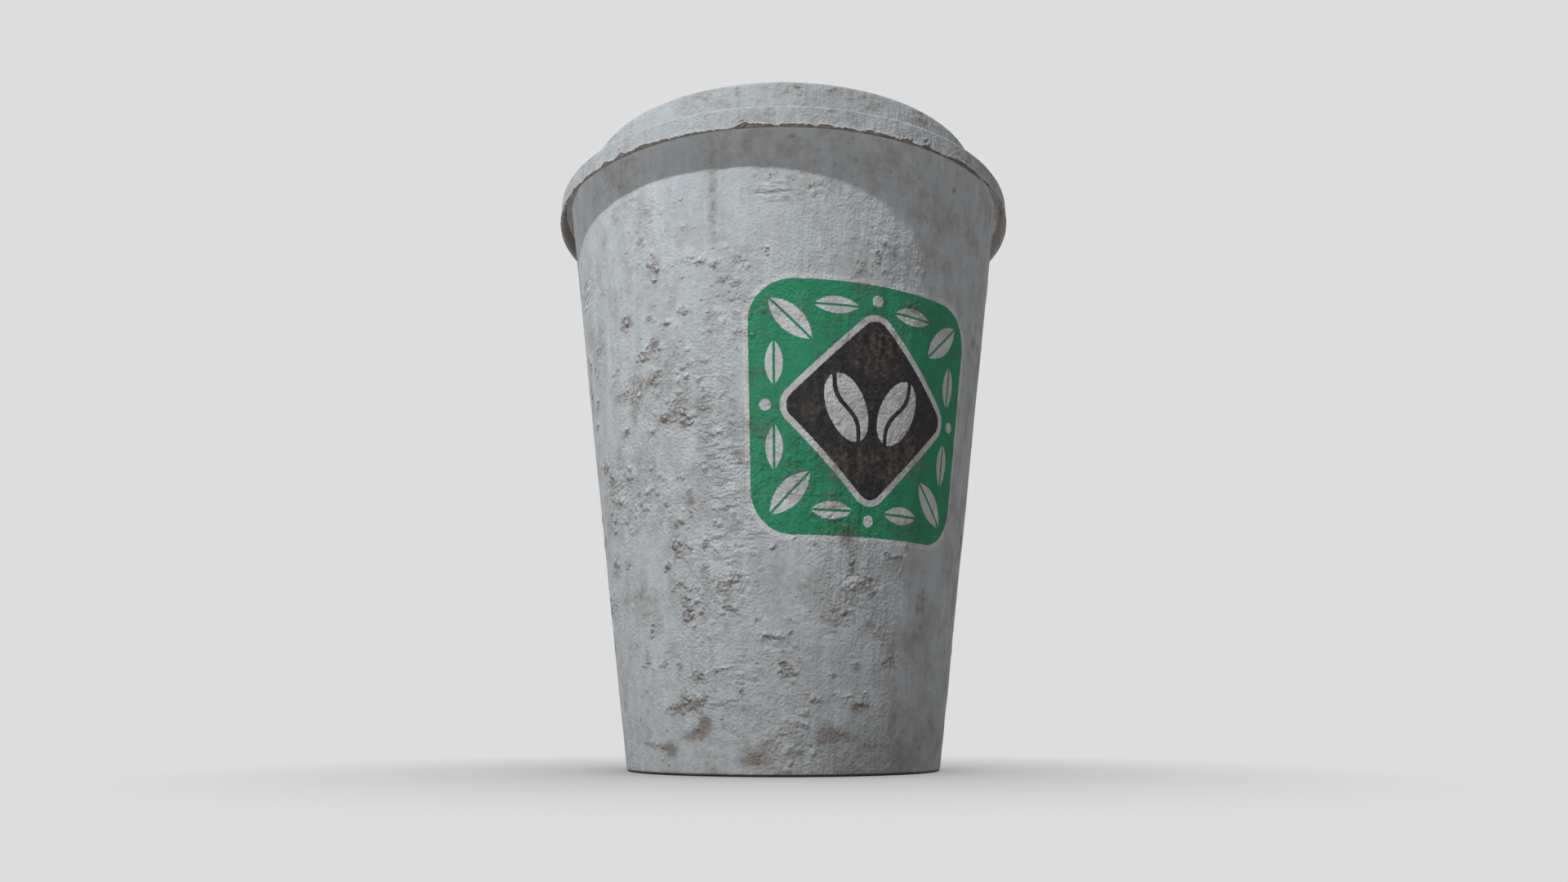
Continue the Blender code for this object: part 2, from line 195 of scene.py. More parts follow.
FRONT_MARKS: dict[Mark, tuple[Blemish, ...]] = {
    Mark.CRUST: listed(
        (-16.5, 101.9, 0.6, 0.5, 0.7), (-17.2, 84.7, 0.9, 0.6, 1.2), (-11.2, 85.0, 1.5, 0.8, 0.8),
        (-13.8, 82.0, 2.4, 0.6, 0.9, -10), (-11.8, 78.9, 1.1, 0.5, 0.7),
        (-9.6, 78.1, 1.1, 0.5, 0.7, 20), (-33.7, 86.4, 0.9, 1.7, 1.0, 10),
        (-35.0, 89.2, 0.9, 1.1, 0.6, 25), (-37.2, 92.0, 0.7, 1.3, 0.5, 10),
        (-23.7, 86.8, 1.7, 0.9, 0.6, -35), (-28.5, 86.3, 4.0, 0.5, 0.6), (-25.3, 92.3, 0.5, 0.4, 0.6),
        (-22.0, 91.8, 0.5, 0.4, 0.6), (-35.6, 97.5, 1.0, 0.8, 0.4), (-26.0, 77.7, 1.0, 0.9, 1.1),
        (-36.6, 77.7, 1.0, 0.8, 1.1), (-31.1, 76.0, 1.1, 0.8, 1.0), (-45.0, 78.4, 1.9, 1.5, 0.9),
        (-35.5, 73.0, 1.2, 1.0, 1.0), (-39.6, 71.2, 2.5, 1.0, 1.1, 15),
        (-9.7, 72.6, 2.0, 0.8, 0.9, -15), (-5.4, 87.3, 1.5, 0.5, 0.4), (-54.6, 86.3, 1.1, 1.0, 0.5),
        (-34.8, 66.9, 1.8, 1.6, 0.6), (-42.8, 65.1, 2.0, 1.9, 0.7), (-26.0, 65.9, 1.0, 0.9, 0.8),
        (-28.2, 61.2, 2.6, 1.7, 1.0, 20), (-32.7, 59.3, 2.2, 0.9, 0.9),
        (-26.6, 58.3, 1.5, 1.1, 1.2, 35), (-50.1, 66.2, 1.7, 2.3, 0.7), (-49.0, 58.6, 1.2, 0.9, 0.7),
        (-38.2, 57.6, 1.9, 1.1, 0.6, 25), (-72.9, 69.3, 1.3, 1.0, 0.7), (-64.7, 54.5, 1.8, 1.4, 1.0),
        (-20.4, 46.8, 1.0, 1.4, 0.4), (-11.1, 50.7, 1.0, 0.6, 0.9), (-30.8, 41.4, 1.1, 0.8, 0.8),
        (-32.1, 37.8, 1.3, 1.4, 0.9), (-30.9, 35.9, 1.0, 0.7, 0.9), (-22.6, 37.2, 0.4, 1.7, 0.7),
        (-23.7, 33.2, 1.0, 1.1, 0.8), (-35.7, 34.1, 0.8, 0.7, 1.0), (-34.5, 31.3, 0.8, 1.8, 0.6, 10),
        (-29.3, 27.0, 1.3, 2.3, 1.2, 12), (-24.4, 26.2, 0.6, 0.8, 0.9), (-54.6, 35.5, 0.9, 1.1, 0.7),
        (-19.2, 32.1, 0.5, 0.4, 0.9), (-14.3, 31.4, 2.3, 0.7, 0.8, 22), (-17.5, 30.0, 0.8, 0.8, 0.7),
        (-15.7, 26.7, 2.6, 0.6, 0.9, -28), (-7.5, 24.8, 0.5, 0.4, 1.2), (-2.8, 36.6, 1.0, 0.5, 0.9),
        (-3.0, 22.1, 2.4, 0.8, 1.1), (-42.8, 24.7, 1.1, 0.5, 0.6), (-43.8, 23.5, 1.0, 0.6, 0.6),
        (-33.6, 17.6, 1.0, 0.9, 0.9), (-19.2, 16.9, 1.6, 0.5, 0.7, 15), (-5.5, 19.5, 1.3, 0.9, 0.9),
        (-12.1, 15.1, 1.5, 0.7, 0.7), (1.3, 16.5, 1.0, 0.8, 0.9), (5.0, 18.0, 0.5, 0.9, 0.9),
        (1.1, 7.0, 0.5, 0.4, 0.8), (-18.3, 11.3, 1.2, 0.6, 0.6), (9.0, 36.9, 0.6, 0.5, 0.8),
        (19.5, 34.3, 0.7, 1.6, 1.0), (31.2, 36.1, 0.7, 0.6, 0.9), (35.8, 35.5, 1.0, 0.8, 0.9),
        (23.4, 31.2, 2.6, 1.3, 1.1, 35), (19.1, 25.9, 1.0, 0.8, 1.2), (14.2, 26.8, 1.3, 1.2, 0.9),
        (47.2, 28.4, 1.9, 3.0, 0.6), (22.4, 17.7, 0.8, 0.6, 1.2), (30.4, 18.2, 1.4, 1.0, 0.8),
        (15.3, 16.1, 1.2, 0.9, 0.7), (24.7, 11.1, 1.9, 0.8, 0.8), (9.9, 11.9, 0.5, 0.4, 1.0),
        (7.4, 11.4, 0.5, 0.4, 0.8), (8.9, 12.3, 0.4, 0.4, 0.8), (1.8, 107.0, 1.0, 0.4, 0.6),
        (7.4, 104.7, 1.2, 0.3, 0.9), (14.7, 106.4, 0.4, 0.5, 0.8), (46.9, 104.0, 0.8, 0.4, 0.9),
        (8.5, 99.2, 0.5, 0.4, 0.7), (28.6, 91.6, 0.9, 0.35, 0.9, 35), (25.3, 89.6, 0.7, 0.6, 0.9),
        (23.7, 86.3, 0.6, 1.7, 0.9), (25.3, 98.5, 0.9, 0.4, 0.6), (-43.9, 103.8, 0.4, 1.0, 0.8, -35),
        (-60.5, 51.5, 2.2, 0.9, 1.1, 5), (-60.5, 48.4, 1.6, 0.8, 0.9),
        (-56.5, 47.0, 2.0, 0.8, 1.1, -15), (-53.5, 49.8, 0.8, 0.4, 0.8),
        (-60.0, 44.0, 1.5, 0.7, 0.9, -10), (-61.0, 42.0, 1.5, 0.6, 0.7),
        (-33.0, 11.2, 3.6, 1.2, 1.2, 8), (-31.7, 13.0, 1.4, 0.5, 1.1, 12), (-28.3, 11.5, 1.2, 0.9, 1.2),
        (-26.7, 15.9, 1.6, 0.8, 1.3), (-47.5, 4.9, 3.2, 0.35, 0.8, -8),
        (-47.0, 18.6, 0.9, 1.1, 0.6, -40), (-45.2, 17.0, 0.5, 0.5, 0.9),
        (-42.0, 17.7, 1.3, 0.4, 0.8, 8), (18.3, 29.0, 0.8, 1.6, 1.0, 10), (24.3, 31.3, 0.8, 0.7, 1.1),
        (34.5, 18.3, 1.0, 1.3, 0.9, -20), (27.0, 29.5, 1.0, 1.2, 0.6), (20.5, 12.8, 1.4, 0.5, 0.6),
        (1.5, 16.8, 1.3, 0.7, 0.8), (2.0, 25.0, 1.5, 0.4, 0.6), (-19.3, 76.0, 1.3, 0.9, 0.5),
        (-27.0, 72.6, 1.2, 0.8, 0.4), (-33.0, 71.9, 1.0, 0.5, 0.8, 10), (-46.5, 68.2, 3.0, 0.5, 0.5),
        (52.5, 83.3, 1.1, 0.35, 0.6, 35), (-20.5, 85.6, 1.6, 0.5, 0.5, -15),
        (34.0, 35.8, 1.3, 0.7, 0.7), (-44.0, 2.5, 0.5, 0.4, 0.8),
    ),
    Mark.SMEAR: listed(
        (-33.7, 86.4, 1.0, 2.0, 0.7), (-13.8, 82.0, 2.6, 0.9, 0.8), (-9.7, 72.6, 2.3, 1.0, 0.6),
        (-29.8, 26.3, 1.1, 1.9, 0.8), (-34.5, 31.3, 1.0, 2.0, 0.6), (-3.0, 22.0, 2.2, 0.7, 0.9),
        (-26.5, 15.9, 1.1, 0.8, 0.9), (24.7, 11.1, 1.9, 0.9, 0.7), (19.5, 34.3, 0.9, 1.8, 0.6),
        (25.7, 23.9, 0.7, 1.0, 0.5), (-11.9, 52.0, 1.4, 1.1, 0.7), (-7.4, 65.7, 2.2, 0.8, 0.8),
        (24.9, 70.3, 5.2, 4.6, 0.95), (17.9, 51.0, 6.5, 4.4, 0.75), (18.7, 38.6, 1.9, 3.0, 0.9),
        (36.1, 53.5, 5.5, 6.0, 0.7), (35.6, 78.9, 2.2, 1.8, 0.8), (38.0, 41.5, 2.4, 2.4, 0.7),
        (-15.9, 104.5, 1.3, 3.0, 0.4), (-20.0, 104.7, 0.9, 3.2, 0.3), (28.0, 88.0, 1.6, 3.4, 0.5, -12),
        (-43.5, 66.0, 2.2, 3.0, 0.9), (-44.0, 61.5, 1.5, 2.2, 0.6, -12),
        (-36.0, 66.8, 3.0, 1.6, 0.75, 12), (-32.0, 69.5, 0.7, 1.8, 0.5), (-51.0, 65.2, 2.2, 1.3, 0.7),
        (-39.6, 71.3, 2.2, 1.0, 0.85), (-33.5, 59.6, 2.3, 1.0, 0.85), (-50.0, 58.5, 1.8, 0.6, 0.8),
        (-60.0, 50.0, 3.0, 4.0, 0.6, -10), (-26.5, 44.5, 1.8, 2.6, 0.55), (-20.9, 46.5, 1.0, 1.5, 0.55),
        (-43.0, 44.5, 1.6, 1.2, 0.4), (-31.2, 41.4, 1.5, 0.7, 0.85), (-43.5, 29.0, 2.6, 1.0, 0.65, -10),
        (-46.3, 27.0, 1.0, 1.6, 0.5), (-43.0, 23.5, 2.0, 0.8, 0.5), (-21.0, 61.0, 2.1, 5.0, 0.5),
        (-20.5, 53.0, 1.6, 4.0, 0.5), (-54.5, 21.5, 2.6, 0.7, 0.6), (-49.5, 13.5, 2.0, 1.8, 0.4),
        (-54.3, 35.7, 1.2, 1.0, 0.7), (-33.0, 11.2, 4.2, 1.6, 0.6, 8), (-29.0, 6.8, 3.6, 1.1, 1.0, 18),
        (-25.5, 8.3, 1.4, 1.4, 1.0, 30), (-22.5, 5.6, 2.8, 0.8, 0.7, -8), (-39.6, 4.2, 1.5, 1.3, 1.0),
        (-47.0, 4.8, 5.0, 0.6, 0.65, -7), (-9.0, 2.6, 3.0, 1.2, 0.7), (-2.0, 4.2, 5.5, 2.4, 0.55),
        (-5.8, 13.9, 0.6, 1.0, 0.5), (15.5, 6.6, 3.6, 1.4, 0.8, -12), (10.5, 5.4, 3.0, 0.8, 0.6, 15),
        (21.5, 6.3, 3.4, 0.9, 0.6, -20), (34.0, 4.6, 6.0, 1.1, 0.6, 5), (24.5, 11.1, 1.9, 0.7, 0.6),
        (47.0, 29.6, 2.0, 0.8, 0.8), (45.0, 27.3, 0.8, 1.5, 0.7), (47.0, 24.6, 1.8, 0.8, 0.6),
        (36.0, 21.5, 2.2, 1.3, 0.5), (27.0, 24.0, 1.8, 1.2, 0.45), (-17.3, 94.0, 0.55, 9.0, 0.8),
        (-16.0, 97.0, 0.2, 8.0, 0.45), (15.6, 96.0, 0.2, 9.5, 0.6), (1.5, 103.5, 0.2, 2.5, 0.6),
        (-38.2, 92.0, 1.1, 1.2, 0.6), (57.0, 44.0, 1.4, 0.9, 0.6), (51.0, 42.3, 1.3, 0.9, 0.6),
        (-17.2, 84.5, 0.8, 0.6, 1.1), (-36.6, 77.5, 0.9, 0.6, 1.1), (-26.0, 77.3, 1.2, 0.6, 0.9),
        (-31.0, 75.9, 1.0, 0.5, 0.7), (-44.2, 78.0, 1.3, 0.8, 0.9), (-47.0, 78.5, 0.9, 1.3, 0.7),
        (-35.5, 72.9, 1.1, 0.6, 1.0), (-10.0, 84.9, 1.0, 0.5, 0.7), (-9.6, 78.0, 0.9, 0.4, 0.7),
        (-28.3, 11.2, 1.0, 0.6, 0.7), (-33.6, 17.5, 1.1, 0.6, 0.9), (-32.1, 37.3, 1.2, 1.4, 0.6),
        (-35.7, 34.0, 0.9, 0.6, 0.8), (-23.7, 33.0, 0.9, 1.0, 0.6), (22.4, 17.5, 0.9, 0.6, 0.9),
        (-5.5, 19.6, 1.2, 0.6, 0.7), (-14.5, 31.3, 2.0, 0.5, 0.5, 22), (-26.6, 58.4, 1.3, 0.9, 0.7, 35),
        (-27.5, 61.0, 2.6, 1.6, 0.5), (-34.8, 97.0, 1.0, 1.4, 0.3), (-52.5, 95.0, 2.0, 3.0, 0.35),
        (-9.5, 11.0, 2.0, 1.5, 0.4), (-14.5, 11.0, 1.6, 1.2, 0.35), (-19.0, 11.5, 1.2, 1.0, 0.45),
        (-55.0, 9.2, 0.8, 0.6, 0.7), (-58.0, 7.0, 3.0, 1.5, 0.4), (-25.0, 3.0, 4.0, 1.0, 0.4),
        (-8.4, 106.1, 0.9, 0.6, 0.7), (1.8, 106.8, 1.0, 0.5, 0.7), (7.6, 104.6, 1.1, 0.3, 0.9),
        (46.0, 103.8, 0.2, 0.7, 1.0, 38), (47.2, 104.1, 0.2, 0.8, 1.0, -38),
        (-43.9, 103.8, 0.3, 1.0, 0.9, -35), (8.5, 92.0, 1.6, 2.4, 0.3), (-2.0, 90.0, 3.0, 3.0, 0.28),
        (44.0, 10.0, 4.0, 3.0, 0.4), (54.0, 6.0, 5.0, 2.4, 0.45),
    ),
    Mark.WRINKLE: listed(
        (-3.3, 97.2, 2.8, 1.7, 1.2), (2.5, 96.4, 2.0, 0.9, 0.8), (-20.0, 11.0, 3.0, 2.0, 0.8),
        (-12.0, 17.0, 3.0, 2.5, 0.8), (23.0, 32.0, 3.0, 5.0, 0.7), (14.0, 24.0, 3.0, 3.0, 0.5),
        (-20.5, 60.0, 1.6, 5.0, 1.0), (-20.0, 52.0, 2.0, 3.6, 1.1), (-15.5, 46.0, 3.0, 4.0, 1.0),
        (-13.5, 53.0, 1.6, 4.0, 0.8), (-18.5, 38.0, 1.8, 2.2, 0.8), (-8.0, 38.5, 2.0, 2.4, 0.8),
        (-13.0, 35.0, 3.0, 3.0, 0.5), (-42.0, 25.5, 3.0, 2.2, 0.7), (-57.0, 49.0, 4.0, 5.0, 0.9),
    ),
    Mark.SCRATCH: listed(
        (5.6, 15.6, 0.28, 5.4, 1.0), (-4.5, 97.9, 2.3, 0.22, 0.9, 4), (-2.6, 96.3, 2.6, 0.2, 0.8, 7),
        (3.4, 96.5, 2.0, 0.2, 0.9, 12), (27.0, 90.6, 1.3, 0.25, 1.0, 38),
        (-15.2, 26.6, 2.2, 0.25, 0.9, -30), (-18.5, 55.0, 0.25, 3.0, 0.6), (11.0, 30.0, 0.25, 4.0, 0.5),
        (-33.0, 105.0, 1.2, 0.2, 0.5, 50),
    ),
    Mark.RUN: listed(
        (-46.0, 92.0, 0.8, 9.0, 0.8, -2), (-50.5, 90.0, 0.6, 8.0, 0.5),
        (-56.0, 70.0, 1.2, 8.0, 0.9, -7), (-28.5, 75.0, 0.7, 4.0, 0.9, -11),
        (-43.0, 59.0, 0.8, 4.0, 0.8, -18), (-24.0, 64.0, 0.7, 3.8, 0.8), (-25.5, 52.0, 0.7, 4.2, 0.8),
        (-31.5, 47.2, 3.0, 0.28, 0.7, 18), (-23.3, 42.0, 0.3, 4.5, 0.6, 10),
        (-41.5, 40.0, 0.4, 7.0, 0.4), (-49.5, 25.0, 0.8, 6.0, 0.5), (13.5, 20.0, 0.35, 3.5, 0.5),
        (3.0, 35.0, 0.4, 2.5, 0.5, -8), (9.0, 35.0, 0.4, 2.2, 0.5), (39.0, 90.0, 0.9, 7.0, 0.5),
        (44.0, 95.0, 0.6, 8.0, 0.4), (39.5, 28.0, 0.9, 3.5, 0.5), (-10.5, 66.0, 0.6, 5.0, 0.5),
    ),
}


@dataclass(frozen=True)
class ScatteredMarks:
    """Marks strewn over the part of the wall that no list of marks covers.

    Attributes:
        first: Azimuth where the strewn part begins, in degrees; it ends at 360 less that.
        floor: Lowest height of a mark, in mm.
        top: Highest height of a mark, in mm.
        counts: How many marks of each kind there are.
        seed: Chooses the places.
    """

    first: float = 62.0
    floor: float = 3.0
    top: float = 104.0
    counts: tuple[tuple[Mark, int], ...] = (
        (Mark.CRUST, 230),
        (Mark.SMEAR, 90),
        (Mark.WRINKLE, 26),
        (Mark.SCRATCH, 16),
        (Mark.RUN, 40),
    )
    seed: int = 12

    HUBS = 26
    GROUPED = 0.6
    FAINT = 0.68
    SIZES = {
        Mark.CRUST: (0.5, 2.2, 0.5, 1.5),
        Mark.SMEAR: (0.8, 3.6, 1.0, 3.6),
        Mark.WRINKLE: (3.0, 6.0, 2.5, 6.0),
        Mark.SCRATCH: (1.0, 3.0, 0.2, 0.28),
        Mark.RUN: (0.4, 1.2, 4.0, 9.0),
    }

    def marks(self) -> dict[Mark, tuple[Blemish, ...]]:
        """Draws the marks.

        They gather low on the wall and in loose groups, as dirt does.

        Returns:
            The marks of each kind.
        """
        draw = np.random.default_rng(self.seed)
        turns = draw.uniform(self.first, 360.0 - self.first, self.HUBS)
        hubs = np.stack((turns, draw.uniform(self.floor, self.top, self.HUBS)), axis=1)
        found: dict[Mark, tuple[Blemish, ...]] = {}
        for kind, count in self.counts:
            thin, wide, low, tall = self.SIZES[kind]
            group = hubs[draw.integers(0, len(hubs), count)] + draw.normal(0.0, (9.0, 7.0), (count, 2))
            lone = draw.uniform((self.first, self.floor), (360.0 - self.first, self.top), (count, 2))
            places = np.where(draw.uniform(size=(count, 1)) < self.GROUPED, group, lone)
            places[:, 0] = np.clip(places[:, 0], self.first, 360.0 - self.first)
            above = np.abs(places[:, 1] - self.floor) * draw.uniform(0.75, 1.0, count)
            places[:, 1] = np.minimum(self.floor + above, self.top)
            across = draw.uniform(thin, wide, count)
            height = draw.uniform(low, tall, count)
            strength = draw.uniform(0.4, 1.1, count) * (self.FAINT if kind is Mark.SMEAR else 1.0)
            tilt = draw.uniform(-35.0, 35.0, count) * (0.2 if kind is Mark.RUN else 1.0)
            rows = np.column_stack((places, across, height, strength, tilt))
            found[kind] = listed(*rows.tolist())
        return found


def satellites(marks: tuple[Blemish, ...], each: int = 2) -> tuple[Blemish, ...]:
    """Small crumbs and pits round the marks of a list.

    Args:
        marks: The marks.
        each: How many small ones lie round each.

    Returns:
        The small marks.
    """
    draw = np.random.default_rng(8)
    found = []
    for mark in marks * each:
        turn, rise = draw.normal(0.0, (5.0, 3.2))
        size, stretch, strength, tilt = draw.uniform((0.3, 0.6, 0.3, -60.0), (0.7, 1.4, 0.85, 60.0))
        height = float(np.clip(mark.height + rise, 1.5, 108.0))
        place = (mark.azimuth + turn, height, size, size * stretch, strength, tilt)
        found.append(Blemish(*(float(value) for value in place)))
    return tuple(found)


# Turned surfaces


@dataclass(frozen=True)
class Corner:
    """A corner of a section path.

    Attributes:
        radius: Distance from the axis, in mm, one number or one for each column.
        height: Height above the table, in mm.
        bend: Radius of the arc that rounds the corner, in mm; 0 keeps it sharp.
        step: Spacing of the rows on the run that leads to this corner, in mm.
    """

    radius: float | np.ndarray
    height: float
    bend: float = 0.0
    step: float = 1.0


def rounded_path(corners: list[Corner], columns: int, bend_rows: int = 4) -> np.ndarray:
    """Lays rows of points along a path with rounded corners, one path for each column.

    A run between two corners is the straight line from the end of one arc to the start of the
    next. An arc touches both of its runs: from the corner it starts back by bend * tan(half the
    turn), and its points are centre - normal * bend * cos(a) + way in * bend * sin(a).

    Args:
        corners: The corners in order; the first and the last stay sharp.
        columns: Number of columns.
        bend_rows: Straight steps in each arc.

    Returns:
        Array of rows by columns by 2, radius and height in mm.
    """
    places = np.stack(
        [
            np.stack((np.broadcast_to(c.radius, columns), np.full(columns, c.height)), axis=-1)
            for c in corners
        ]
    ).astype(float)
    runs = np.diff(places, axis=0)
    ways = runs / np.linalg.norm(runs, axis=-1, keepdims=True)
    rows = [places[0]]
    for index, corner in enumerate(corners[1:], start=1):
        arc: list[np.ndarray] = []
        start = places[index]
        if corner.bend > 0.0:
            way_in, way_out = ways[index - 1], ways[index]
            cross = way_in[:, 0] * way_out[:, 1] - way_in[:, 1] * way_out[:, 0]
            turn = np.arctan2(cross, (way_in * way_out).sum(axis=-1))[:, None]
            normal = np.sign(turn) * np.stack((-way_in[:, 1], way_in[:, 0]), axis=-1)
            start = places[index] - way_in * corner.bend * np.tan(np.abs(turn) / 2.0)
            centre = start + normal * corner.bend
            for angle in np.linspace(0.0, 1.0, bend_rows + 1)[1:]:
                swing = np.abs(turn) * angle
                arc.append(centre + corner.bend * (way_in * np.sin(swing) - normal * np.cos(swing)))
        length = np.linalg.norm(start - rows[-1], axis=-1).mean()
        steps = max(1, math.ceil(length / corner.step))
        first = rows[-1]
        for step in range(1, steps + 1):
            rows.append(first + (start - first) * step / steps)
        rows.extend(arc)
    return np.stack(rows)


def hidden_side(path: np.ndarray, thickness: float) -> np.ndarray:
    """Offsets a path to its left, as seen along the path, by the sheet's thickness.

    Args:
        path: Rows by columns by 2, radius and height in mm.
        thickness: The sheet's thickness in mm.

    Returns:
        The offset path, of the same shape.
    """
    forward = np.gradient(path, axis=0)
    forward /= np.linalg.norm(forward, axis=-1, keepdims=True)
    return path + thickness * np.stack((-forward[..., 1], forward[..., 0]), axis=-1)


def thinned(count: int, keep: np.ndarray, stride: int) -> np.ndarray:
    """Chooses rows for a side with less detail.

    Args:
        count: Number of rows.
        keep: True for each row that has to stay.
        stride: Of the other rows, one in this many stays.

    Returns:
        The chosen row numbers in order, with the first and the last.
    """
    rows = np.arange(count)
    chosen = keep | (rows % stride == 0) | (rows == 0) | (rows == count - 1)
    return rows[chosen]


@dataclass
class RingSurface:
    """A closed surface of rings round the cup's axis.

    Attributes:
        name: Name of the piece.
        path: Rows by columns by 2, radius and height in mm.
        azimuths: Azimuth of each column, in degrees.
        masks: Values for the materials, rows by columns each.
        poles: True if the first and the last row lie on the axis; otherwise they are joined.
        finish_rows: For each row, the number of the material on the faces that start there.
    """

    name: str
    path: np.ndarray
    azimuths: np.ndarray
    masks: dict[str, np.ndarray]
    poles: bool = False
    finish_rows: np.ndarray | None = None

    def points(self) -> np.ndarray:
        """The grid's points: x = r sin(azimuth), y = -r cos(azimuth), z = height.

        Returns:
            Rows by columns by 3, in mm.
        """
        angle = np.radians(self.azimuths)[None, :]
        radius, height = self.path[..., 0], self.path[..., 1]
        return np.stack((radius * np.sin(angle), -radius * np.cos(angle), height), axis=-1)

    def build(self) -> bpy.types.Object:
        """Makes the mesh: quads between neighbouring rows and columns, and a fan at each pole.

        Returns:
            The new object, at the origin.
        """
        rows, columns = self.path.shape[:2]
        points = self.points() * MM
        grid = np.arange(rows * columns).reshape(rows, columns)
        lower, upper = (grid[1:-2], grid[2:-1]) if self.poles else (grid, np.roll(grid, -1, axis=0))
        quads = np.stack(
            (lower, np.roll(lower, -1, axis=1), np.roll(upper, -1, axis=1), upper), axis=-1
        )
        finish = np.zeros(rows, int) if self.finish_rows is None else self.finish_rows
        quad_finish = np.repeat(finish[1:-2] if self.poles else finish, columns)
        fans = np.zeros((0, 3), int)
        fan_finish = np.zeros(0, int)
        if self.poles:
            near = np.stack((np.full(columns, grid[0, 0]), np.roll(grid[1], -1), grid[1]), axis=-1)
            far = np.stack((np.full(columns, grid[-1, 0]), grid[-2], np.roll(grid[-2], -1)), axis=-1)
            fans = np.concatenate((near, far))
            fan_finish = np.repeat((finish[0], finish[-2]), columns)
        quads = quads.reshape(-1, 4)
        used, flat = np.unique(np.concatenate((quads.ravel(), fans.ravel())), return_inverse=True)
        vertices = points.reshape(-1, 3)[used]
        quads = flat[: quads.size].reshape(-1, 4)
        fans = flat[quads.size :].reshape(-1, 3)
        if self.volume(vertices, quads, fans) < 0.0:
            quads, fans = quads[:, ::-1], fans[:, ::-1]
        mesh = self.mesh_from(vertices, quads, fans, np.concatenate((quad_finish, fan_finish)))
        for mask, values in self.masks.items():
            layer = mesh.attributes.new(mask, "FLOAT", "POINT")
            layer.data.foreach_set("value", values.ravel()[used].astype(np.float32))
        piece = bpy.data.objects.new(self.name, mesh)
        bpy.context.scene.collection.objects.link(piece)
        return piece

    def mesh_from(
        self, vertices: np.ndarray, quads: np.ndarray, fans: np.ndarray, finish: np.ndarray
    ) -> bpy.types.Mesh:
        """Fills a mesh from arrays.

        Args:
            vertices: Points in metres.
            quads: Four point numbers for each quad.
            fans: Three point numbers for each triangle.
            finish: Material number of each face, the quads first.

        Returns:
            The mesh, shaded smooth.
        """
        mesh = bpy.data.meshes.new(self.name)
        sizes = np.concatenate((np.full(len(quads), 4), np.full(len(fans), 3)))
        starts = np.concatenate(((0,), np.cumsum(sizes)[:-1]))
        mesh.vertices.add(len(vertices))
        mesh.vertices.foreach_set("co", vertices.astype(np.float32).ravel())
        mesh.loops.add(int(sizes.sum()))
        corners = np.concatenate((quads.ravel(), fans.ravel()))
        mesh.loops.foreach_set("vertex_index", corners.astype(np.int32))
        mesh.polygons.add(len(sizes))
        mesh.polygons.foreach_set("loop_start", starts.astype(np.int32))
        mesh.polygons.foreach_set("material_index", finish.astype(np.int32))
        mesh.update(calc_edges=True)
        mesh.shade_smooth()
        return mesh

    @staticmethod
    def volume(vertices: np.ndarray, quads: np.ndarray, fans: np.ndarray) -> float:
        """Signed volume inside the faces, positive if they face outwards.

        Args:
            vertices: The points.
            quads: Four point numbers for each quad.
            fans: Three point numbers for each triangle.

        Returns:
            The sum of a . (b x c) / 6 over all triangles.
        """
        triangles = np.concatenate((quads[:, (0, 1, 2)], quads[:, (0, 2, 3)], fans))
        a, b, c = (vertices[triangles[:, corner]] for corner in range(3))
        return float((a * np.cross(b, c)).sum() / 6.0)


# Shader arithmetic


